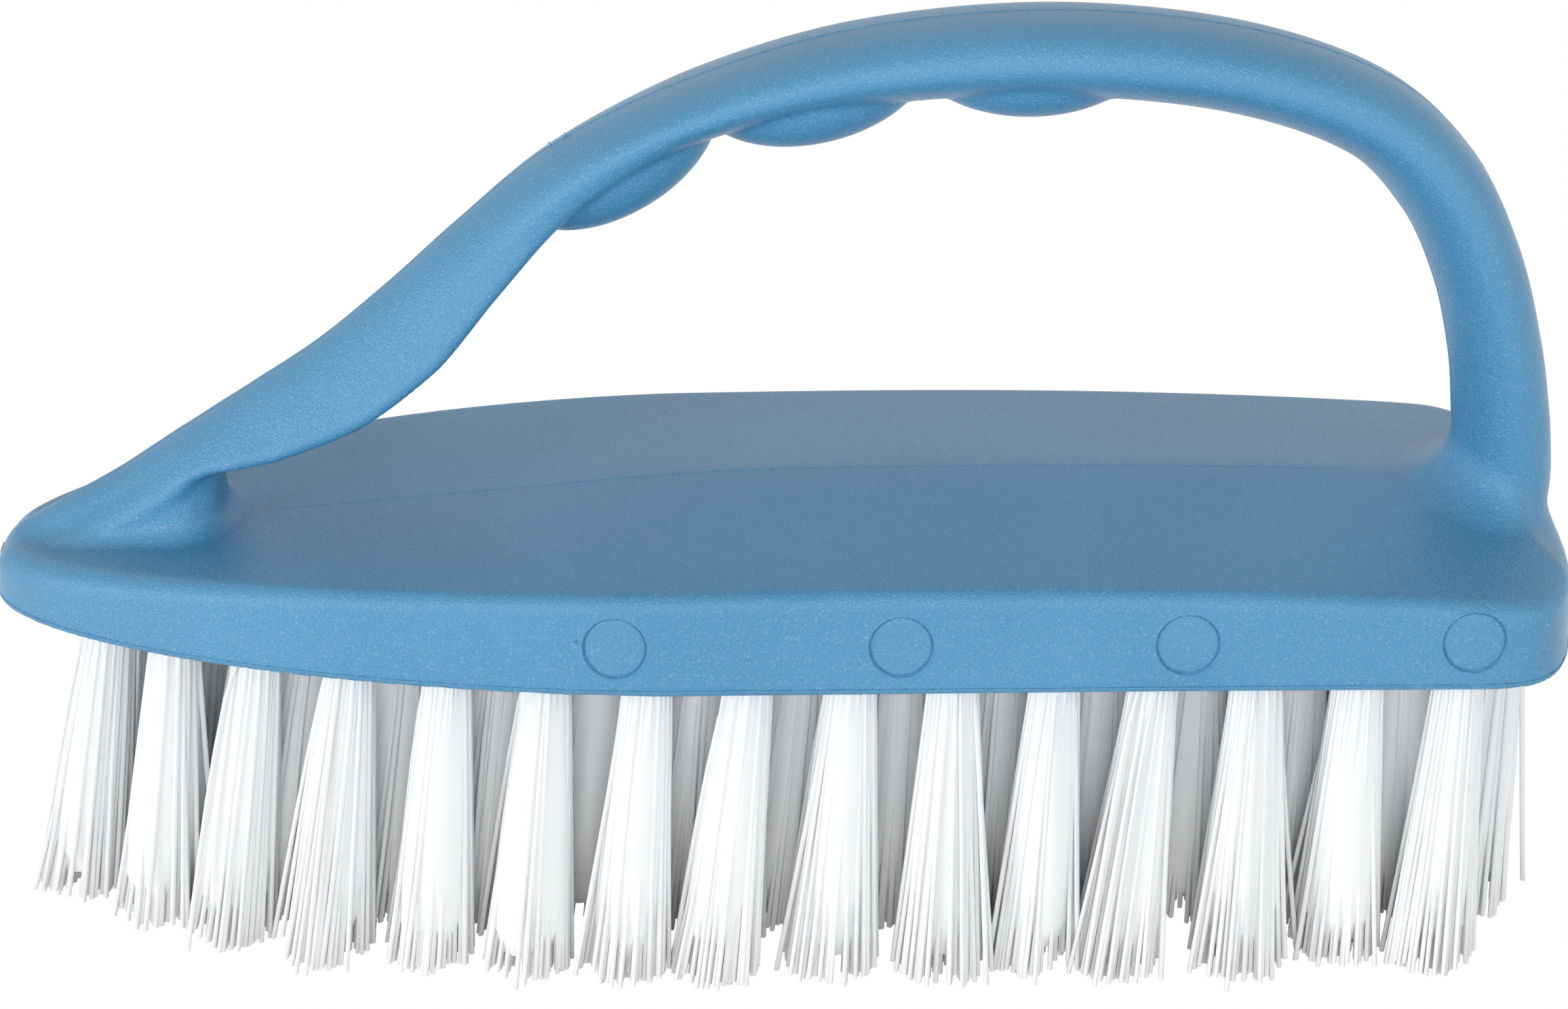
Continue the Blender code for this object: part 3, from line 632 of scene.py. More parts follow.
def body_gap(x, y, z, wall, wall_y, route):
    """Gap to the whole moulding at points, given their places against the two lines.

    The handle is the bar joined with the web and the lobes, less what lies past its ends,
    too deep in the block, or outside the wall at the nose. The roof is joined with the
    handle by the fillet. The block is what that, the wall and the underside share. The wall
    leans in by the draft times the share of its height.
    """
    along, offset, past_end = route
    bar = np.maximum(bar_gap(along, offset, y), past_end)
    bar = joined(bar, web_gap(x, y, offset), STRAP_FILLET)
    bar = joined(bar, np.maximum(lobes_gap(x, y, z), offset), LOBE_FILLET)
    bar = np.maximum(bar, UNDERSIDE + HANDLE_SINK - z)
    draft = END_DRAFT + (WALL_DRAFT - END_DRAFT) * wall_y / HALF_WIDTH
    side = wall + draft * (z - UNDERSIDE) / WALL_HEIGHT
    bar = shared(bar, np.where(x < 0, side, -HALF_LENGTH), rim_radius(x))
    fillet = np.interp(x, FILLET_PLACES, FILLET_RADII)
    top = joined(z - roof_height(x, y), bar, fillet)
    block = shared(shared(side, top, rim_radius(x)), UNDERSIDE - z, BOTTOM_RADIUS)
    return np.minimum(block, bar)


def guesses(points):
    """First guesses of where points lie along the outline and along the handle's route."""
    plan = np.column_stack([points[:, 0], np.abs(points[:, 1])])
    return coarse_along(OUTLINE, plan), coarse_along(ROUTE, points[:, (0, 2)])


def gap_at(points, first):
    """Gap to the moulding at scattered points."""
    x, y, z = points.T
    along, wall, _ = nearest_on(OUTLINE, np.column_stack([x, np.abs(y)]), first[0])
    wall_y = np.interp(along, OUTLINE[1], OUTLINE[0][:, 1])
    route = nearest_on(ROUTE, np.column_stack([x, z]), first[1])
    return body_gap(x, y, z, wall, wall_y, route)


def gap_and_normal(points):
    """The gap at points, and the direction in which it grows fastest there."""
    first = guesses(points)
    gap = gap_at(points, first)
    slope = np.stack([gap_at(points + step, first) - gap for step in np.eye(3) * PROBE], axis=-1)
    return gap, slope / np.maximum(np.linalg.norm(slope, axis=1), LEAST_SLOPE)[:, None]


def settle(points, rounds):
    """Move points onto the moulding's surface, along the direction in which the gap grows."""
    for _ in range(rounds):
        gap, normal = gap_and_normal(points)
        points = points - normal * gap[:, None]
    return points


print("fillets, mm:", FILLET_RADII.min() * 1000, "to", FILLET_RADII.max() * 1000)

# %% [markdown]
# # From the formula to a mesh
# The formula is worked out on a grid of small boxes. A box whose corners lie partly inside
# and partly outside the moulding holds a bit of its surface, so it gets one point, at the
# mean of the places where the box's edges cross the surface. Four boxes round a crossed edge
# give one face. The points are then evened out and settled on the surface exactly. Blender's
# own remeshing could close the surface too, but it would blur the fillets and the lip.

# %% The formula on a grid
CELL = 0.00057
MARGIN_CELLS = 3
EVENING_ROUNDS = 4
UNTANGLE_ROUNDS = 3
JUST_INSIDE = 0.000001


def body_field(axes):
    """The moulding's gap on a whole grid, from one look-up for each of its two flat lines."""
    x, y, z = (axis.reshape(shape) for axis, shape in
               zip(axes, ((-1, 1, 1), (1, -1, 1), (1, 1, -1))))
    flat_x, flat_y = (grid.ravel() for grid in np.meshgrid(axes[0], np.abs(axes[1]),
                                                            indexing="ij"))
    plan = np.column_stack([flat_x, flat_y])
    along, wall, _ = nearest_on(OUTLINE, plan, coarse_along(OUTLINE, plan))
    wall_y = np.interp(along, OUTLINE[1], OUTLINE[0][:, 1])
    plan_shape = (len(axes[0]), len(axes[1]), 1)
    flat_x, flat_z = (grid.ravel() for grid in np.meshgrid(axes[0], axes[2], indexing="ij"))
    side_shape = (len(axes[0]), 1, len(axes[2]))
    side = np.column_stack([flat_x, flat_z])
    route = [part.reshape(side_shape) for part in
             nearest_on(ROUTE, side, coarse_along(ROUTE, side))]
    return body_gap(x, y, z, wall.reshape(plan_shape), wall_y.reshape(plan_shape), route)


# %% Surface net
def crossings(field, cells):
    """For each cell, the mean of the points where its twelve edges cross the surface."""
    total = np.zeros((len(cells), 3))
    count = np.zeros(len(cells))
    for axis in range(3):
        unit = np.eye(3, dtype=int)[axis]
        others = [other for other in range(3) if other != axis]
        for first in (0, 1):
            for second in (0, 1):
                corner = cells.copy()
                corner[:, others[0]] += first
                corner[:, others[1]] += second
                low = field[tuple(corner.T)]
                high = field[tuple((corner + unit).T)]
                crossed = (low < 0) != (high < 0)
                share = np.where(crossed, low / np.where(crossed, low - high, 1.0), 0.0)
                total += np.where(crossed[:, None], corner + share[:, None] * unit, 0.0)
                count += crossed
    return total / count[:, None]


def untangled(field):
    """A field in which no box's side has its two diagonals on different sides of the surface.

    Such a side would make four faces meet along one edge. Of its two corners that lie
    outside, the nearer one is brought just inside. Settling then sets the surface right.
    """
    for _ in range(UNTANGLE_ROUNDS):
        for axis in range(3):
            layers = np.moveaxis(field, axis, 0)
            inside = layers < 0
            corner, opposite = inside[:, :-1, :-1], inside[:, 1:, 1:]
            beside, above = inside[:, 1:, :-1], inside[:, :-1, 1:]
            i, j, k = np.argwhere((corner == opposite) & (beside == above) & (corner != beside)).T
            held = inside[i, j, k].astype(int)
            nearer = layers[i, j + held, k] < layers[i, j + 1 - held, k + 1]
            j, k = np.where(nearer, j + held, j + 1 - held), np.where(nearer, k, k + 1)
            layers[i, j, k] = -JUST_INSIDE
    return field


def surface_net(field):
    """Points, in grid units, and faces of the surface where a field changes sign.

    A box with corners on both sides has one point. An edge that crosses the surface has one
    face, whose corners are the points of the four boxes round it, turned to face outward.
    """
    inside = field < 0
    corners = sum(inside[i:inside.shape[0] - 1 + i, j:inside.shape[1] - 1 + j,
                         k:inside.shape[2] - 1 + k].astype(np.int8)
                  for i in (0, 1) for j in (0, 1) for k in (0, 1))
    cells = np.argwhere((corners > 0) & (corners < 8))
    number = np.full(corners.shape, -1)
    number[tuple(cells.T)] = np.arange(len(cells))
    faces = []
    for axis in range(3):
        ahead = np.moveaxis(inside, axis, 0)
        crossed = np.argwhere(ahead[:-1] != ahead[1:])
        leaving = ahead[tuple(crossed.T)]
        around = np.moveaxis(number, axis, 0)
        i, j, k = crossed.T
        quad = np.stack([around[i, j, k], around[i, j - 1, k], around[i, j - 1, k - 1],
                         around[i, j, k - 1]], axis=-1)
        turned = leaving if axis != 1 else ~leaving
        faces.append(np.where(turned[:, None], quad, quad[:, ::-1]))
    return crossings(field, cells), np.vstack(faces)


def evened(points, faces):
    """Each point moved to the mean of its neighbours along the faces' edges."""
    edges = np.vstack([faces[:, (side, (side + 1) % 4)] for side in range(4)])
    total = np.zeros_like(points)
    np.add.at(total, edges[:, 0], points[edges[:, 1]])
    count = np.bincount(edges[:, 0], minlength=len(points))
    return total / count[:, None]


# %% Mesh of the body
grid_low = BODY_LOW - MARGIN_CELLS * CELL
grid_steps = np.ceil((BODY_HIGH + MARGIN_CELLS * CELL - grid_low) / CELL).astype(int)
axes = [grid_low[axis] + np.arange(grid_steps[axis] + 1) * CELL for axis in range(3)]
net_points, net_faces = surface_net(untangled(body_field(axes)))
body_points = settle(grid_low + net_points * CELL, rounds=2)
for _ in range(EVENING_ROUNDS):
    body_points = settle(evened(body_points, net_faces), rounds=1)
body_points = settle(body_points, rounds=2)
print("body: points", len(body_points), "faces", len(net_faces))

# %% [markdown]
# # Ejector pin marks
# Pins push a moulding out of its mould. Each leaves a round mark, shallow and with a crisp
# edge, because the pin stands a little proud of the mould's wall and wears faster. The net is
# too coarse for such an edge. So the net is cut open round each mark, a disc of fine rings is
# settled on the wall and pressed in by the mark's profile, and a strip of triangles joins
# the disc to the net. The moulding stays one closed surface.

# %% Pin mark discs
MARK_RADIUS = 0.0030
MARK_PITCH = 0.0265
MARK_TAIL_MARGIN = 0.0127
MARK_COUNT = 4
MARK_DEPTH = 0.00020
MARK_WAVINESS = 0.000048
MARK_WAVES = 12
WAVES_PER_METRE = 4000
MOST_PHASE = 6.0
MARK_SIDES = 72
CUT_MARGIN = 0.00012

# A mark's rings: distance from its middle as a share of its radius, depth as a share of its
# depth, and how worn the surface is there
MARK_PROFILE = np.array([
    (0.06, 0.90, 1.0), (0.20, 0.90, 1.0), (0.34, 0.90, 1.0), (0.48, 0.92, 1.0),
    (0.61, 0.94, 1.0), (0.73, 0.96, 1.0), (0.84, 0.98, 1.0), (0.915, 1.00, 1.0),
    (0.945, 1.15, 1.0), (0.965, 1.70, 0.6), (0.985, 1.70, 0.4), (1.00, 0.20, 0.2),
    (1.015, -0.20, 0.0), (1.035, -0.12, 0.0), (1.07, 0.00, 0.0), (1.12, 0.00, 0.0),
])


def mark_centres():
    """A point on the wall for each mark, on both sides of the block."""
    x = HALF_LENGTH - MARK_TAIL_MARGIN - np.arange(MARK_COUNT) * MARK_PITCH
    y = np.full(MARK_COUNT, HALF_WIDTH)
    z = np.full(MARK_COUNT, UNDERSIDE + WALL_HEIGHT / 2)
    marks = [np.column_stack([x, side * y, z]) for side in (-1, 1)]
    return settle(np.vstack(marks), rounds=6)


def mark_disc(centre, normal, random):
    """Rings of points on the wall round a centre, pressed in by the mark's profile.

    A ring's points lie round the normal at its distance. They are settled on the wall, then
    moved inward by the profile's depth, made a little uneven by the mean of a few sine waves
    that cross the disc in random directions.
    """
    across = np.cross([0.0, 0.0, 1.0], normal)
    across /= np.linalg.norm(across)
    upward = np.cross(normal, across)
    angle = full_turn(MARK_SIDES)
    radius = MARK_PROFILE[:, 0, None] * MARK_RADIUS
    flat = (radius * np.cos(angle))[..., None] * across
    flat = flat + (radius * np.sin(angle))[..., None] * upward
    points = settle((centre + flat).reshape(-1, 3), rounds=4)
    waves = random.normal(0, 1.0, (MARK_WAVES, 3)) * WAVES_PER_METRE
    phases = random.uniform(0, MOST_PHASE, MARK_WAVES)
    unevenness = np.sin(points @ waves.T + phases).mean(axis=1)
    worn = np.repeat(MARK_PROFILE[:, 2], MARK_SIDES)
    depth = np.repeat(MARK_PROFILE[:, 1], MARK_SIDES) * MARK_DEPTH
    depth = depth + unevenness * worn * MARK_WAVINESS
    return points - normal * depth[:, None], worn, across, upward


def strip_between(inner, outer, inner_angle, outer_angle):
    """Triangles between two closed loops of numbered points, each in order of angle.

    Going round, each loop's next point makes a triangle with its last point and with the
    last point passed on the other loop.
    """
    passed = np.searchsorted(outer_angle, inner_angle) - 1
    from_inner = np.stack([np.roll(inner, 1), outer[passed], inner], axis=-1)
    passed = np.searchsorted(inner_angle, outer_angle) - 1
    from_outer = np.stack([np.roll(outer, 1), outer, inner[passed]], axis=-1)
    return np.vstack([from_inner, from_outer]).tolist()


def angles_round(centre, across, upward, points):
    """Angle of each point round a centre, from nothing up to a full turn."""
    away = points - centre
    return np.arctan2(away @ upward, away @ across) % (2 * math.pi)


centres = mark_centres()
print("pin mark centres, mm:", np.round(centres * 1000, 1).tolist())

# %% Pin marks stitched in
mark_random = np.random.default_rng(3)
mark_normals = gap_and_normal(centres)[1]
quads = net_faces
all_points, all_worn = [body_points], [np.zeros(len(body_points))]
stitches = []
rings = grid_faces(len(MARK_PROFILE), MARK_SIDES, columns_closed=True)
cut_radius = MARK_PROFILE[-1, 0] * MARK_RADIUS + CUT_MARGIN
for centre, normal in zip(centres, mark_normals):
    first = sum(len(part) for part in all_points)
    disc, worn, across, upward = mark_disc(centre, normal, mark_random)
    close = np.linalg.norm(body_points - centre, axis=1) < cut_radius
    cut = close[quads].any(axis=1)
    border = np.intersect1d(quads[cut], quads[~cut])
    quads = quads[~cut]
    border_angle = angles_round(centre, across, upward, body_points[border])
    order = np.argsort(border_angle)
    edge_angle = angles_round(centre, across, upward, disc[-MARK_SIDES:])
    edge_order = np.argsort(edge_angle)
    edge = first + len(disc) - MARK_SIDES + edge_order
    stitches += strip_between(edge, border[order], edge_angle[edge_order], border_angle[order])
    stitches += (rings + first).tolist()
    stitches.append((first + np.arange(MARK_SIDES)).tolist())
    all_points.append(disc)
    all_worn.append(worn)

all_points, all_worn = np.vstack(all_points), np.concatenate(all_worn)
used = np.zeros(len(all_points), bool)
used[quads.ravel()] = True
used[len(body_points):] = True
renumbered = np.cumsum(used) - 1
body_faces = [renumbered[face].tolist() for face in stitches]
body_faces += renumbered[quads].tolist()
body_points, body_worn = all_points[used], all_worn[used]
print("pin marks:", len(centres), "faces of the moulding:", len(body_faces))

# %% [markdown]
# # The finishes
# The moulding is satin blue plastic. Its mould was finely blasted, so the surface has a grain
# of about a quarter of a millimetre that breaks up every highlight, and here and there a light
# speck of dust or a dark speck in the plastic. The grain's colour also carries painted glints
# on its pale facets and painted shade in its pits. A picture could be wrapped round it, but
# noise on the object's own coordinates keeps the grain on the surface from every side.
# The filament is white nylon, so pale that light is passed on many times between a tuft's
# filaments.

# %% Helpers for materials
def new_material(name):
    """A material with an empty node tree, its shader, and the object's coordinates."""
    material = bpy.data.materials.new(name)
    material.use_nodes = True
    tree = material.node_tree
    shader = tree.nodes["Principled BSDF"]
    place = tree.nodes.new("ShaderNodeTexCoord").outputs["Object"]
    return material, tree, shader, place


def set_inputs(tree, node, values):
    """Set a node's inputs: each value is a socket to link from, or a constant."""
    for name, value in values.items():
        if isinstance(value, bpy.types.NodeSocket):
            tree.links.new(value, node.inputs[name])
        else:
            node.inputs[name].default_value = value


def add_node(tree, kind, values, **settings):
    """A node of a kind, with its settings made first and then its inputs."""
    node = tree.nodes.new("ShaderNode" + kind)
    for name, value in settings.items():
        setattr(node, name, value)
    set_inputs(tree, node, values)
    return node


def add_math(tree, operation, first, second):
    """One number worked out from two; each is a socket or a plain number."""
    return add_node(tree, "Math", {0: first, 1: second}, operation=operation).outputs[0]


def add_noise(tree, place, size, detail=2.0, roughness=0.5):
    """Noise whose lumps are about this many metres across."""
    values = {"Vector": place, "Scale": 1 / size, "Detail": detail, "Roughness": roughness}
    return add_node(tree, "TexNoise", values).outputs["Fac"]


def add_ramp(tree, value, low, high, low_value=0.0, high_value=1.0):
    """A value that runs evenly from one number to another while its input rises."""
    values = {"Value": value, "From Min": low, "From Max": high,
              "To Min": low_value, "To Max": high_value}
    return add_node(tree, "MapRange", values).outputs["Result"]


def add_specks(tree, place, spacing, size, share):
    """A mask of small dots: near the points of a Voronoi pattern, and only at a share of
    its cells, told by each cell's own random colour. A dot fades over its outer half.
    """
    cells = add_node(tree, "TexVoronoi", {"Vector": place, "Scale": 1 / spacing})
    dot = add_ramp(tree, cells.outputs["Distance"], size / spacing, size / spacing / 2)
    own = add_node(tree, "SeparateColor", {"Color": cells.outputs["Color"]}).outputs["Red"]
    return add_math(tree, "MULTIPLY", dot, add_math(tree, "LESS_THAN", own, share))


def add_mix(tree, share, first, second):
    """One colour going over into another by a share; each is a socket or a plain colour."""
    first, second = ((*colour, 1.0) if isinstance(colour, tuple) else colour
                     for colour in (first, second))
    values = {"Factor": share, "A": first, "B": second}
    return add_node(tree, "Mix", values, data_type="RGBA").outputs["Result"]


def add_bump(tree, height, distance, strength, under=None):
    """Bump from a height, over another bump if there is one."""
    values = {"Height": height, "Distance": distance, "Strength": strength}
    if under is not None:
        values["Normal"] = under
    return add_node(tree, "Bump", values).outputs["Normal"]


def add_reader(tree, name):
    """The number that each point of a piece holds under a name."""
    return add_node(tree, "Attribute", {}, attribute_name=name).outputs["Fac"]


# %% [markdown]
# # Blue plastic and white filament
# One recipe makes every blue piece: the skin, the torn flash and the cut gate differ only in
# their two blues. The grain's lightest parts are painted glints, where facets would face a
# lamp, and its darkest parts are painted shade in the pits. On the filament, each tube's own
# tone comes from a number on its points, so that no two neighbours are quite alike; a plain
# white would run together into one lump.

# %% Materials
BLUE = (0.082, 0.308, 0.535)
BLUE_DEEP = (0.070, 0.283, 0.500)
TORN_LIGHT = (0.30, 0.50, 0.66)
TORN_DARK = (0.14, 0.33, 0.50)
GATE_LIGHT = (0.045, 0.12, 0.20)
GATE_DARK = (0.015, 0.04, 0.08)
# Pale specks of dust, worn pin marks and the grain's painted glints share this colour
PALE_SPECK_WEAR_AND_GLINT = (0.42, 0.58, 0.72)
# Dark specks in the plastic and the painted shade in the grain's pits share this colour
DARK_SPECK_AND_PIT_SHADE = (0.012, 0.035, 0.075)
# How far the grain is painted with glints on its facets and with shade in its pits
PAINTED_GLINT_SHARE = 0.40
PAINTED_PIT_SHADE_SHARE = 0.04
WORN_LIGHT = 0.03
CLOUD_SIZE = 0.02
GRAIN_SIZE = 0.00023
PEEL_SIZE = 0.00085
BUMP_HEIGHT = 0.00012
PEEL_STRENGTH = 0.3
PLASTIC_ROUGHNESS = (0.24, 0.38)
FILAMENT_WHITE = (0.915, 0.925, 0.93)
FILAMENT_WHITER = (0.945, 0.95, 0.95)
FILAMENT_ROUGHNESS = (0.35, 0.50)
STREAK_SIZE = 0.0006


def blue_plastic(name, first, second):
    """Satin blue plastic: two near blues, fine grain, soft orange peel and specks. The grain's
    pale facets carry painted glints and its pits painted shade.
    """
    material, tree, shader, place = new_material(name)
    cloud = add_ramp(tree, add_noise(tree, place, CLOUD_SIZE), low=0.35, high=0.65)
    colour = add_mix(tree, cloud, first, second)
    light = add_specks(tree, place, spacing=0.0034, size=0.00011, share=0.35)
    colour = add_mix(tree, light, colour, PALE_SPECK_WEAR_AND_GLINT)
    dark = add_specks(tree, place, spacing=0.0062, size=0.00010, share=0.12)
    colour = add_mix(tree, dark, colour, DARK_SPECK_AND_PIT_SHADE)
    grain = add_noise(tree, place, GRAIN_SIZE, detail=2.0, roughness=0.6)
    peel = add_noise(tree, place, PEEL_SIZE, detail=1.0)
    # Painted glints: the grain's high values are lightened as if those facets faced a lamp
    painted_glints = add_ramp(tree, grain, low=0.56, high=0.74, high_value=PAINTED_GLINT_SHARE)
    colour = add_mix(tree, painted_glints, colour, PALE_SPECK_WEAR_AND_GLINT)
    # Painted shade: the grain's low values are darkened as if they lay in pits
    painted_pit_shade = add_ramp(tree, grain, low=0.44, high=0.28, high_value=PAINTED_PIT_SHADE_SHARE)
    colour = add_mix(tree, painted_pit_shade, colour, DARK_SPECK_AND_PIT_SHADE)
    scuffed = add_ramp(tree, add_reader(tree, "worn"), 0.0, 1.0, high_value=WORN_LIGHT)
    coarse = add_bump(tree, peel, BUMP_HEIGHT, PEEL_STRENGTH)
    set_inputs(tree, shader, {
        "Base Color": add_mix(tree, scuffed, colour, PALE_SPECK_WEAR_AND_GLINT),
        "Roughness": add_ramp(tree, grain, 0.3, 0.7, *PLASTIC_ROUGHNESS),
        "Normal": add_bump(tree, grain, BUMP_HEIGHT, 1.0, coarse),
    })
    return material


def white_filament(name):
    """White nylon: between two whites by each filament's own tone, with faint streaks."""
    material, tree, shader, place = new_material(name)
    streak = add_noise(tree, place, STREAK_SIZE, detail=1.0)
    set_inputs(tree, shader, {
        "Base Color": add_mix(tree, add_reader(tree, "tone"), FILAMENT_WHITE, FILAMENT_WHITER),
        "Roughness": add_ramp(tree, streak, 0.3, 0.7, *FILAMENT_ROUGHNESS),
        "Diffuse Roughness": 1.0,
        "Sheen Weight": 0.35,
        "Sheen Roughness": 0.5,
    })
    return material


satin_blue = blue_plastic("satin_blue_plastic", BLUE, BLUE_DEEP)
torn_blue = blue_plastic("torn_blue_plastic", TORN_LIGHT, TORN_DARK)
gate_blue = blue_plastic("cut_gate_blue_plastic", GATE_LIGHT, GATE_DARK)
filament_white = white_filament("white_nylon_filament")
print("materials:", satin_blue.name, filament_white.name)

# %% [markdown]
# # The moulding as one piece
# Block, handle and lobes come out of the mould in one shot, so they are one piece with one
# skin. Separate pieces pushed into each other would show lines where the plastic runs on.
# How worn a pin mark is goes along as a number at each point, for the material to read.

# %% Moulding
moulding = make_piece("moulding", body_points, body_faces, satin_blue, "blue_moulding")
add_values(moulding, "worn", body_worn)
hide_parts("brush_body")
print("moulding faces:", len(moulding.data.polygons))

# %% [markdown]
# # Traces of the mould
# The mould opens to both sides, as the pin marks show, so its parting line runs round the
# moulding in the middle plane: over the handle, under the arch and along the roof. It is a
# ridge a few hundredths of a millimetre high. A second faint line runs round the wall just
# above its lower edge. Both could be part of the body's formula, but its grid is far too
# coarse for them. So they are thin beads of the same plastic, half sunk in the surface.

# %% Mould traces
PARTING_RADIUS = 0.000045
ROOF_LINE_RADIUS = 0.000025
EDGE_LINE_RADIUS = 0.000085
EDGE_LINE_HEIGHT = 0.0007
EDGE_LINE_STRIDE = 4
ROOF_LINE_ENDS = (WEB_END_X + 0.004, 0.058)
ROOF_LINE_POINTS = 200
LINE_PROBE = 0.0009
BEAD_SIDES = 5
TAPER_POINTS = 6
TAPER_END = 0.05


def middle_line(flat, count):
    """Points in the middle plane, evened and settled on the moulding."""
    line = np.column_stack([flat[:, 0], np.zeros(len(flat)), flat[:, 1]])
    line = settle(evenly_spaced(line, count), rounds=4)
    return settle(evenly_spaced(line, count), rounds=3)


def tapered(radius, count):
    """A radius that runs out to almost nothing at both ends of a line."""
    way = np.minimum(np.arange(count), np.arange(count)[::-1]) / TAPER_POINTS
    return radius * np.clip(way, TAPER_END, 1.0)


def beside_route(first, last, side):
    """The handle's route between two shares of its length, moved to one side of the bar."""
    rows = np.arange(int(first * len(HANDLE_ROWS)), int(last * len(HANDLE_ROWS)))
    heading = ROUTE[2][rows] / np.linalg.norm(ROUTE[2][rows], axis=1)[:, None]
    outward = np.column_stack([-heading[:, 1], heading[:, 0]])
    reach = HANDLE_ROWS[rows, 2] if side > 0 else HANDLE_ROWS[rows, 3]
    return HANDLE_ROWS[rows, :2] + side * outward * (reach + LINE_PROBE)[:, None]


crown = middle_line(beside_route(first=0.05, last=0.97, side=1), count=420)
under = middle_line(beside_route(first=0.26, last=0.93, side=-1), count=340)
roof_x = np.linspace(*ROOF_LINE_ENDS, ROOF_LINE_POINTS)
roof_z = roof_height(roof_x, np.zeros(ROOF_LINE_POINTS))
roof_line = middle_line(np.column_stack([roof_x, roof_z]), ROOF_LINE_POINTS)
traces = [bead(line, tapered(radius, len(line)), BEAD_SIDES) for line, radius in
          ((crown, PARTING_RADIUS), (under, PARTING_RADIUS), (roof_line, ROOF_LINE_RADIUS))]
half_outline = OUTLINE[0][::EDGE_LINE_STRIDE]
around = np.vstack([half_outline, half_outline[-2:0:-1] * (1, -1)])
edge_height = np.full(len(around), UNDERSIDE + EDGE_LINE_HEIGHT)
edge_line = settle(np.column_stack([around, edge_height]), rounds=3)
edge_radii = np.full(len(edge_line), EDGE_LINE_RADIUS)
traces.append(bead(edge_line, edge_radii, BEAD_SIDES, closed=True))
make_piece("mould_lines", *gathered(traces), satin_blue, "blue_moulding")
print("parting lines:", len(traces))

# %% [markdown]
# # Flash and gate
# Where the mould doesn't close tightly, thin ragged flash stands on the parting line: above
# the strap, and under the first finger lobe. It could be bump, but it breaks the outline of
# the handle, so it is a fin whose top goes up and down by chance. The gate, where the plastic
# came in, has left a small rough stub at the nose: a low mound of uneven rings.

# %% Flash and gate
FLASH_POINTS = 1600
FLASH_THICKNESS = 0.00010
FLASH_RAGGEDNESS = 0.6
FLASH_SWAY = 0.00008
GATE_HEIGHT = 0.0034
GATE_RADIUS = 0.0010
GATE_SIDES = 20
GATE_ROUGHNESS = 0.00003

# Where a strip of flash has its middle, along the block, how many of the line's points it
# reaches either way, and its height
STRAP_FLASH = (-0.01992, 16, 0.00035)
LOBE_FLASH = (-0.02378, 14, 0.00030)

# The gate stub's rings: distance from its middle as a share of its radius, and height
GATE_PROFILE = np.array([(1.25, -0.00006), (1.00, 0.00002), (0.85, 0.00016),
                         (0.60, 0.00010), (0.30, 0.00014), (0.10, 0.00008)])


def flash_strip(line, middle_x, reach, height, random):
    """Ragged flash along part of a line: a thin fin with a top that goes up and down.

    The top's height is the strip's height times the size of a random number, and it sways
    sideways by another. The top is a third as thick as the foot.
    """
    fine = evenly_spaced(line, FLASH_POINTS)
    middle = np.abs(fine[:, 0] - middle_x).argmin()
    base = fine[middle - reach:middle + reach]
    normal = gap_and_normal(base)[1]
    rise = np.abs(random.normal(0, FLASH_RAGGEDNESS, len(base)))
    rise = height * rise * tapered(1.0, len(base))
    sway = random.normal(0, FLASH_SWAY, len(base))
    across = np.array([0.0, FLASH_THICKNESS / 2, 0.0])
    foot = base - normal * FLASH_THICKNESS
    top = base + normal * rise[:, None] + sway[:, None] * np.array([0.0, 1.0, 0.0])
    rows = [foot - across, top - across / 3, top + across / 3, foot + across]
    faces = grid_faces(len(base), 4, columns_closed=True)[:, ::-1].tolist()
    faces.append([3, 2, 1, 0])
    faces.append([corner + 4 * len(base) - 4 for corner in range(4)])
    return np.stack(rows, axis=1).reshape(-1, 3), faces


trace_random = np.random.default_rng(11)
flash = [flash_strip(crown, *STRAP_FLASH, trace_random),
         flash_strip(under, *LOBE_FLASH, trace_random)]
make_piece("mould_flash", *gathered(flash), torn_blue, "blue_moulding")

gate_angle = full_turn(GATE_SIDES)
gate_ring = np.stack([np.zeros(GATE_SIDES), np.cos(gate_angle), np.sin(gate_angle)], axis=1)
gate_middle = np.array([-HALF_LENGTH, 0.0, UNDERSIDE + GATE_HEIGHT])
gate_places = gate_middle + GATE_RADIUS * GATE_PROFILE[:, 0, None, None] * gate_ring
gate_places = settle(gate_places.reshape(-1, 3), rounds=4)
gate_lift = np.repeat(GATE_PROFILE[:, 1], GATE_SIDES)
gate_lift = gate_lift + trace_random.normal(0, GATE_ROUGHNESS, len(gate_lift))
gate_points = gate_places + gap_and_normal(gate_places)[1] * gate_lift[:, None]
gate_faces = grid_faces(len(GATE_PROFILE), GATE_SIDES, columns_closed=True).tolist()
gate_faces.append(np.arange(len(gate_lift) - GATE_SIDES, len(gate_lift)).tolist())
make_piece("gate_stub", gate_points, gate_faces, gate_blue, "blue_moulding")
print("flash strips:", len(flash), "gate points:", len(gate_points))

# %% [markdown]
# # The tufts
# Each tuft is a bunch of filaments, a hundred and fifty here, folded over a flat wire and
# driven into a blind hole. It leaves the hole as a tight round bundle and fans out to the
# tips, more to the sides in some places than in others, because filaments cling together in
# locks. A filament is a tube: a five-sided ring carried along a slightly bowed line. Hair
# curves could do it, but tubes are real surfaces that any program can show. Deep inside,
# where filaments can't be told apart, a blunt white core stands for them.

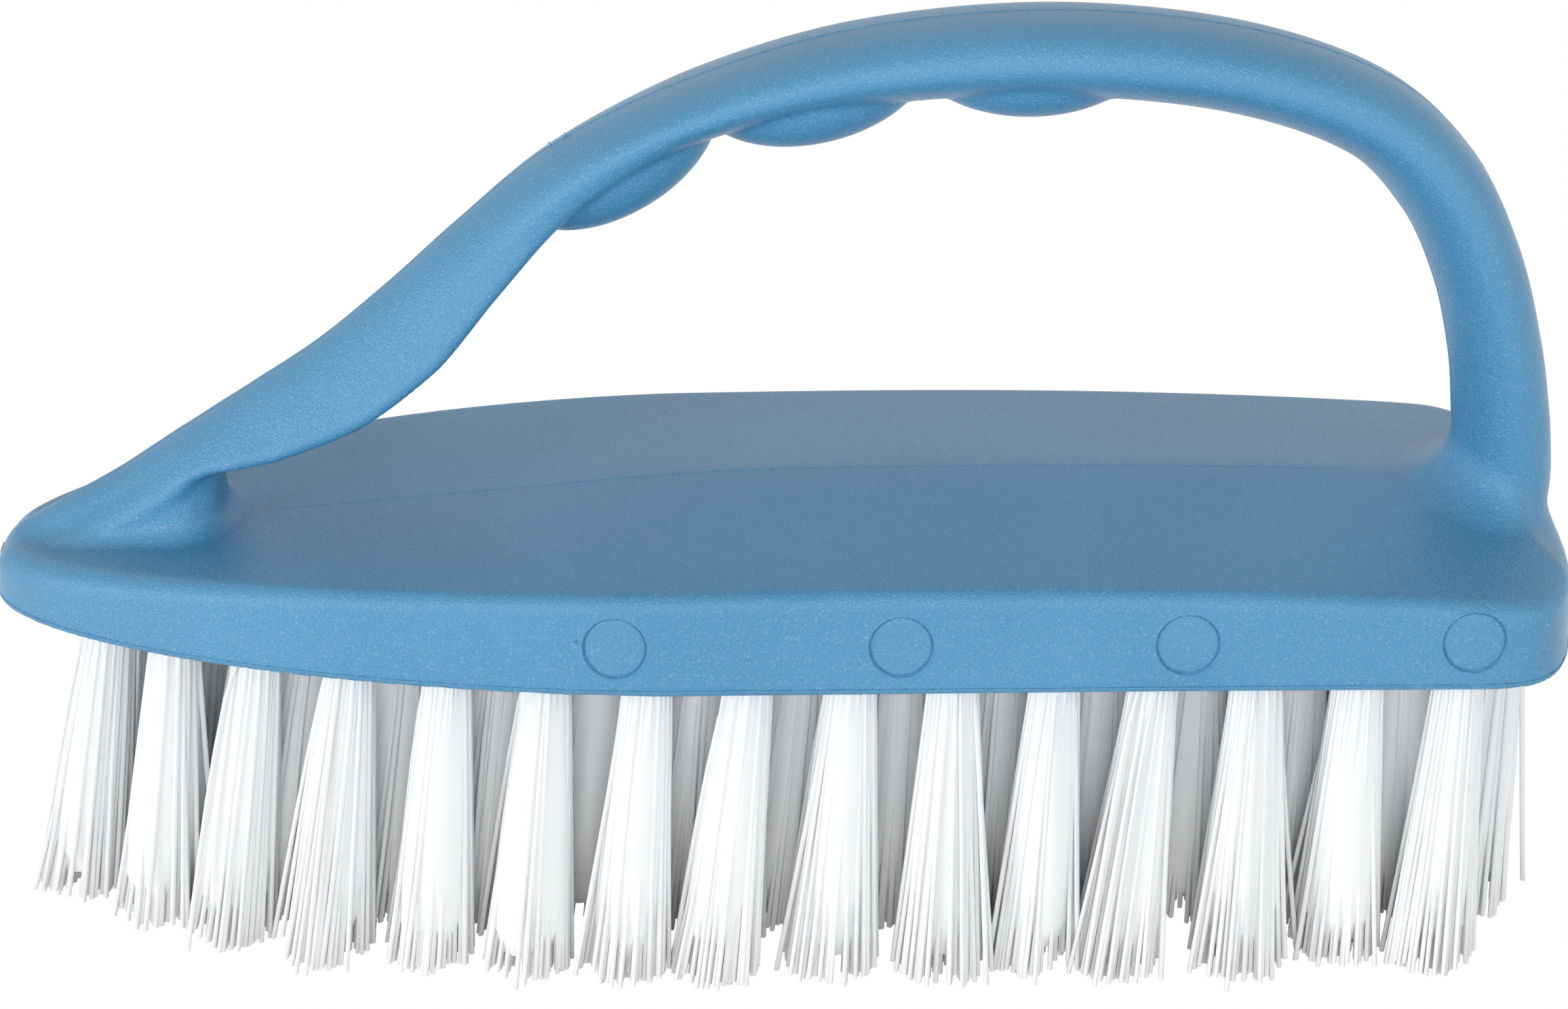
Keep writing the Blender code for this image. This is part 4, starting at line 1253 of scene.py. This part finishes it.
# %% Sizes of a tuft
FILAMENTS = 150
STATIONS = 7
RING_SIDES = 5
FILAMENT_RADIUS = 0.00026
THICKNESS_RANGE = (0.9, 1.1)
BUNDLE_RADIUS = 0.0021
TIP_RADIUS = 0.0048
TIP_SCATTER = 0.00022
FURTHEST_TIP = 0.0260
TRIM_SCATTER = 0.00045
TRIM_DISHING = 0.0002
BOW_RANGE = (0.95, 1.15)
LOCKS = 5
LEAST_LOCK_SHARE = 0.15
LOCK_PULL = 0.55
STRAY_SHARE = 0.09
STRAY_REACH = (0.0006, 0.0022)
STRAY_BOW_RANGE = (0.7, 1.2)
ROOT_SINK = 0.0010
CORE_SIDES = 14
CORE_TONE = 0.5

# A tuft's core: way down as a share of its length, radius as a share of the tuft's there
CORE_SHARES = np.array([(0.00, 0.98), (0.25, 0.97), (0.50, 0.95), (0.70, 0.90), (0.84, 0.80),
                        (0.92, 0.58), (0.95, 0.20)])
GOLDEN_ANGLE = math.pi * (3 - math.sqrt(5))
print("a tuft's filaments:", FILAMENTS, "points in each:", STATIONS * RING_SIDES)

# %% Filaments
def tuft_lines(root, tip, width, random):
    """Middle lines of a tuft's filaments, as filament by station by place.

    Roots lie on a sunflower spiral in the hole. Tips lie on the same spiral, spread out,
    pulled towards the nearest of a few locks, scattered, and held within a limit to the
    sides; a few stray further out. A line runs from root to tip with its sideways part
    growing as a power of the way down, so that it bows outward. The tips' heights are
    scattered and rise a little with the square of the way out from the tuft's middle.
    """
    number = np.arange(FILAMENTS)
    radius = np.sqrt((number + 0.5) / FILAMENTS)
    angle = number * GOLDEN_ANGLE + random.uniform(0, 2 * math.pi)
    disc = radius[:, None] * np.stack([np.cos(angle), np.sin(angle)], axis=1)
    starts = root + width * BUNDLE_RADIUS * disc
    lock_angle = random.uniform(0, 2 * math.pi, LOCKS)
    lock_radius = np.sqrt(random.uniform(LEAST_LOCK_SHARE, 1.0, LOCKS))
    locks = lock_radius[:, None] * np.stack([np.cos(lock_angle), np.sin(lock_angle)], axis=1)
    nearest = ((disc[:, None] - locks[None]) ** 2).sum(axis=-1).argmin(axis=1)
    pull = random.uniform(0.0, LOCK_PULL, (FILAMENTS, 1))
    spread = disc * (1 - pull) + locks[nearest] * pull
    ends = tip + width * TIP_RADIUS * spread + random.normal(0, TIP_SCATTER, (FILAMENTS, 2))
    stray = (random.uniform(size=FILAMENTS) < STRAY_SHARE)[:, None]
    further = disc * random.uniform(*STRAY_REACH, (FILAMENTS, 1))
    ends = ends + np.where(stray, further, 0.0)
    ends[:, 1] = np.clip(ends[:, 1], -FURTHEST_TIP, FURTHEST_TIP)
    levels = np.abs(random.normal(0, TRIM_SCATTER, FILAMENTS)) + TRIM_DISHING * radius ** 2
    way = np.linspace(0, 1, STATIONS)
    bow = np.where(stray, random.uniform(*STRAY_BOW_RANGE, (FILAMENTS, 1)),
                   random.uniform(*BOW_RANGE, (FILAMENTS, 1)))
    sideways = (way[None, :] ** bow)[..., None]
    flat = starts[:, None] + (ends - starts)[:, None] * sideways
    top = UNDERSIDE + ROOT_SINK
    heights = top + (levels[:, None] - top) * way[None, :]
    return np.concatenate([flat, heights[..., None]], axis=-1)


def core_line(root, tip, width):
    """Middle line and radii of a tuft's packed core, hidden by its outer filaments."""
    way = CORE_SHARES[:, 0]
    flat = root + (tip - root) * way[:, None]
    heights = UNDERSIDE + ROOT_SINK - (UNDERSIDE + ROOT_SINK) * way
    radius = (BUNDLE_RADIUS + (TIP_RADIUS - BUNDLE_RADIUS) * way) * width * CORE_SHARES[:, 1]
    return np.column_stack([flat, heights])[None], radius[None]


def add_filaments(name, nodes, roots, tips, width, random):
    """The filaments of one or more tufts as one piece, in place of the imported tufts."""
    lines = np.vstack([tuft_lines(root, tip, width, random) for root, tip in zip(roots, tips)])
    thickness = random.uniform(*THICKNESS_RANGE, (len(lines), 1)) * np.ones(STATIONS)
    tone = np.repeat(random.uniform(0, 1, len(lines)), STATIONS * RING_SIDES)
    cores = [tubes(*core_line(root, tip, width), CORE_SIDES) for root, tip in zip(roots, tips)]
    filaments = tubes(lines, FILAMENT_RADIUS * thickness, RING_SIDES)
    points, faces = gathered([filaments, *cores])
    piece = make_piece(name, points, faces, filament_white, "white_filament")
    core_tone = np.full(len(points) - len(tone), CORE_TONE)
    add_values(piece, "tone", np.concatenate([tone, core_tone]))
    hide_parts(*nodes)


# %% [markdown]
# # Where the tufts stand
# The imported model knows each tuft's hole: the highest points of its node are the top of its
# packed root. The nearer a tuft is to the nose, the further forward its tips are. The middle
# row is one node with thirteen tufts, so its roots are spaced evenly along the middle line.
# The places could be typed in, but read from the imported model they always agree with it.

# %% Tufts in their holes
CENTRE_ROW_TUFTS = 13
CENTRE_ROW_FIRST_X = 0.0269 - HALF_LENGTH
CENTRE_ROW_LAST_X = HALF_LENGTH - 0.0126
NOSE_TIP_SHIFT = -0.0070
TAIL_TIP_SHIFT = 0.0009
LEAN_SCATTER = 0.0006
INNER_WIDTH = 1.16
ROOT_TOP_DEPTH = 0.0002


def node_points(node):
    """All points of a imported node, as an array."""
    mesh = frame["nodes"][node].data
    points = np.empty(len(mesh.vertices) * 3, np.float32)
    mesh.vertices.foreach_get("co", points)
    return points.reshape(-1, 3).astype(float)


def root_of(node):
    """Middle of a tuft's hole: halfway between the limits of its node's highest points."""
    points = node_points(node)
    top = points[points[:, 2] > points[:, 2].max() - ROOT_TOP_DEPTH, :2]
    return (top.min(axis=0) + top.max(axis=0)) / 2


def tip_of(root, random):
    """Where a tuft's tips are centred: further forward towards the nose, a little scattered."""
    share = (root[0] + HALF_LENGTH) / (2 * HALF_LENGTH)
    forward = NOSE_TIP_SHIFT + (TAIL_TIP_SHIFT - NOSE_TIP_SHIFT) * share
    return root + np.array([forward, 0.0]) + random.normal(0, LEAN_SCATTER, 2)


tuft_random = np.random.default_rng(7)
tuft_nodes = sorted(name for name in frame["nodes"] if name.startswith("tuft_")
                    and name != "tuft_row_centre")
for node in tuft_nodes:
    root = root_of(node)
    tip = tip_of(root, tuft_random)
    width = INNER_WIDTH if "inner" in node else 1.0
    add_filaments(node.replace("tuft_", "filaments_"), [node], [root], [tip], width, tuft_random)
centre_x = np.linspace(CENTRE_ROW_FIRST_X, CENTRE_ROW_LAST_X, CENTRE_ROW_TUFTS)
centre_roots = np.column_stack([centre_x, np.zeros(CENTRE_ROW_TUFTS)])
centre_tips = [tip_of(root, tuft_random) for root in centre_roots]
add_filaments("filaments_row_centre", ["tuft_row_centre"], centre_roots, centre_tips,
              INNER_WIDTH, tuft_random)
tuft_count = len(tuft_nodes) + CENTRE_ROW_TUFTS
print("tufts:", tuft_count, "filaments:", tuft_count * FILAMENTS)

# %% [markdown]
# # Floor, light and background
# The photograph was lit from the front and the sides by large soft lamps and has a white
# background. The floor is pale and takes the brush's shadow. A bright world could make the
# background white, but it would wash out the brush. So floor and world are white only to the
# camera and in reflections, which the Light Path node tells, and the lamps stay at a level
# at which the blue is seen as it is and the filament isn't burnt out.

# %% Stage and light
FLOOR_HALF_SIZE = 1.2
FLOOR_TONE = (0.90, 0.90, 0.90, 1.0)
FLOOR_ROUGHNESS = 0.9
WHITE = (1.0, 1.0, 1.0, 1.0)
ROOM_TONE = (0.95, 0.97, 1.0, 1.0)
ROOM_STRENGTH = 0.35
LAMP_AIM = (0.0, 0.0, 0.04)

# Each lamp's name, place, width, height and power in watts
LAMPS = (
    ("front_softbox", (0.00, -0.80, 0.33), 0.36, 0.30, 2.5),
    ("left_softbox", (-0.78, -0.45, 0.12), 0.36, 0.36, 3.8),
    ("right_softbox", (0.80, -0.45, 0.25), 0.40, 0.40, 1.4),
)


def white_to_camera(tree, surface):
    """A shader that is plain white light to camera, glossy and transmission rays."""
    path = add_node(tree, "LightPath", {})
    seen = path.outputs["Is Camera Ray"]
    for name in ("Is Glossy Ray", "Is Transmission Ray"):
        seen = add_math(tree, "MAXIMUM", seen, path.outputs[name])
    white = add_node(tree, "Emission", {"Color": WHITE, "Strength": 1.0}).outputs[0]
    return add_node(tree, "MixShader", {0: seen, 1: surface, 2: white}).outputs[0]


floor_material, floor_tree, floor_shader, _ = new_material("pale_floor")
set_inputs(floor_tree, floor_shader, {"Base Color": FLOOR_TONE, "Roughness": FLOOR_ROUGHNESS})
set_inputs(floor_tree, floor_tree.nodes["Material Output"],
           {"Surface": white_to_camera(floor_tree, floor_shader.outputs[0])})
side = np.array([-FLOOR_HALF_SIZE, FLOOR_HALF_SIZE])
floor_points = [(x, y, 0.0) for y in side for x in side]
floor_mesh = bpy.data.meshes.new("floor")
floor_mesh.from_pydata(floor_points, [], [(0, 1, 3, 2)])
floor_mesh.materials.append(floor_material)
new_object("floor", floor_mesh)

world = bpy.data.worlds.new("white_room")
world.use_nodes = True
bpy.context.scene.world = world
room_tree = world.node_tree
room = room_tree.nodes["Background"]
set_inputs(room_tree, room, {"Color": ROOM_TONE, "Strength": ROOM_STRENGTH})
set_inputs(room_tree, room_tree.nodes["World Output"],
           {"Surface": white_to_camera(room_tree, room.outputs[0])})


def add_softbox(name, place, width, height, power):
    """A rectangular lamp turned so that it faces the brush."""
    lamp = bpy.data.lights.new(name, "AREA")
    lamp.shape = "RECTANGLE"
    lamp.size = width
    lamp.size_y = height
    lamp.energy = power
    light = new_object(name, lamp)
    light.location = place
    direction = Vector(LAMP_AIM) - Vector(place)
    light.rotation_euler = direction.to_track_quat("-Z", "Y").to_euler()


for lamp_values in LAMPS:
    add_softbox(*lamp_values)

bpy.context.scene.view_settings.view_transform = "Standard"
print("stage and lamps are in place:", len(LAMPS), "lamps")
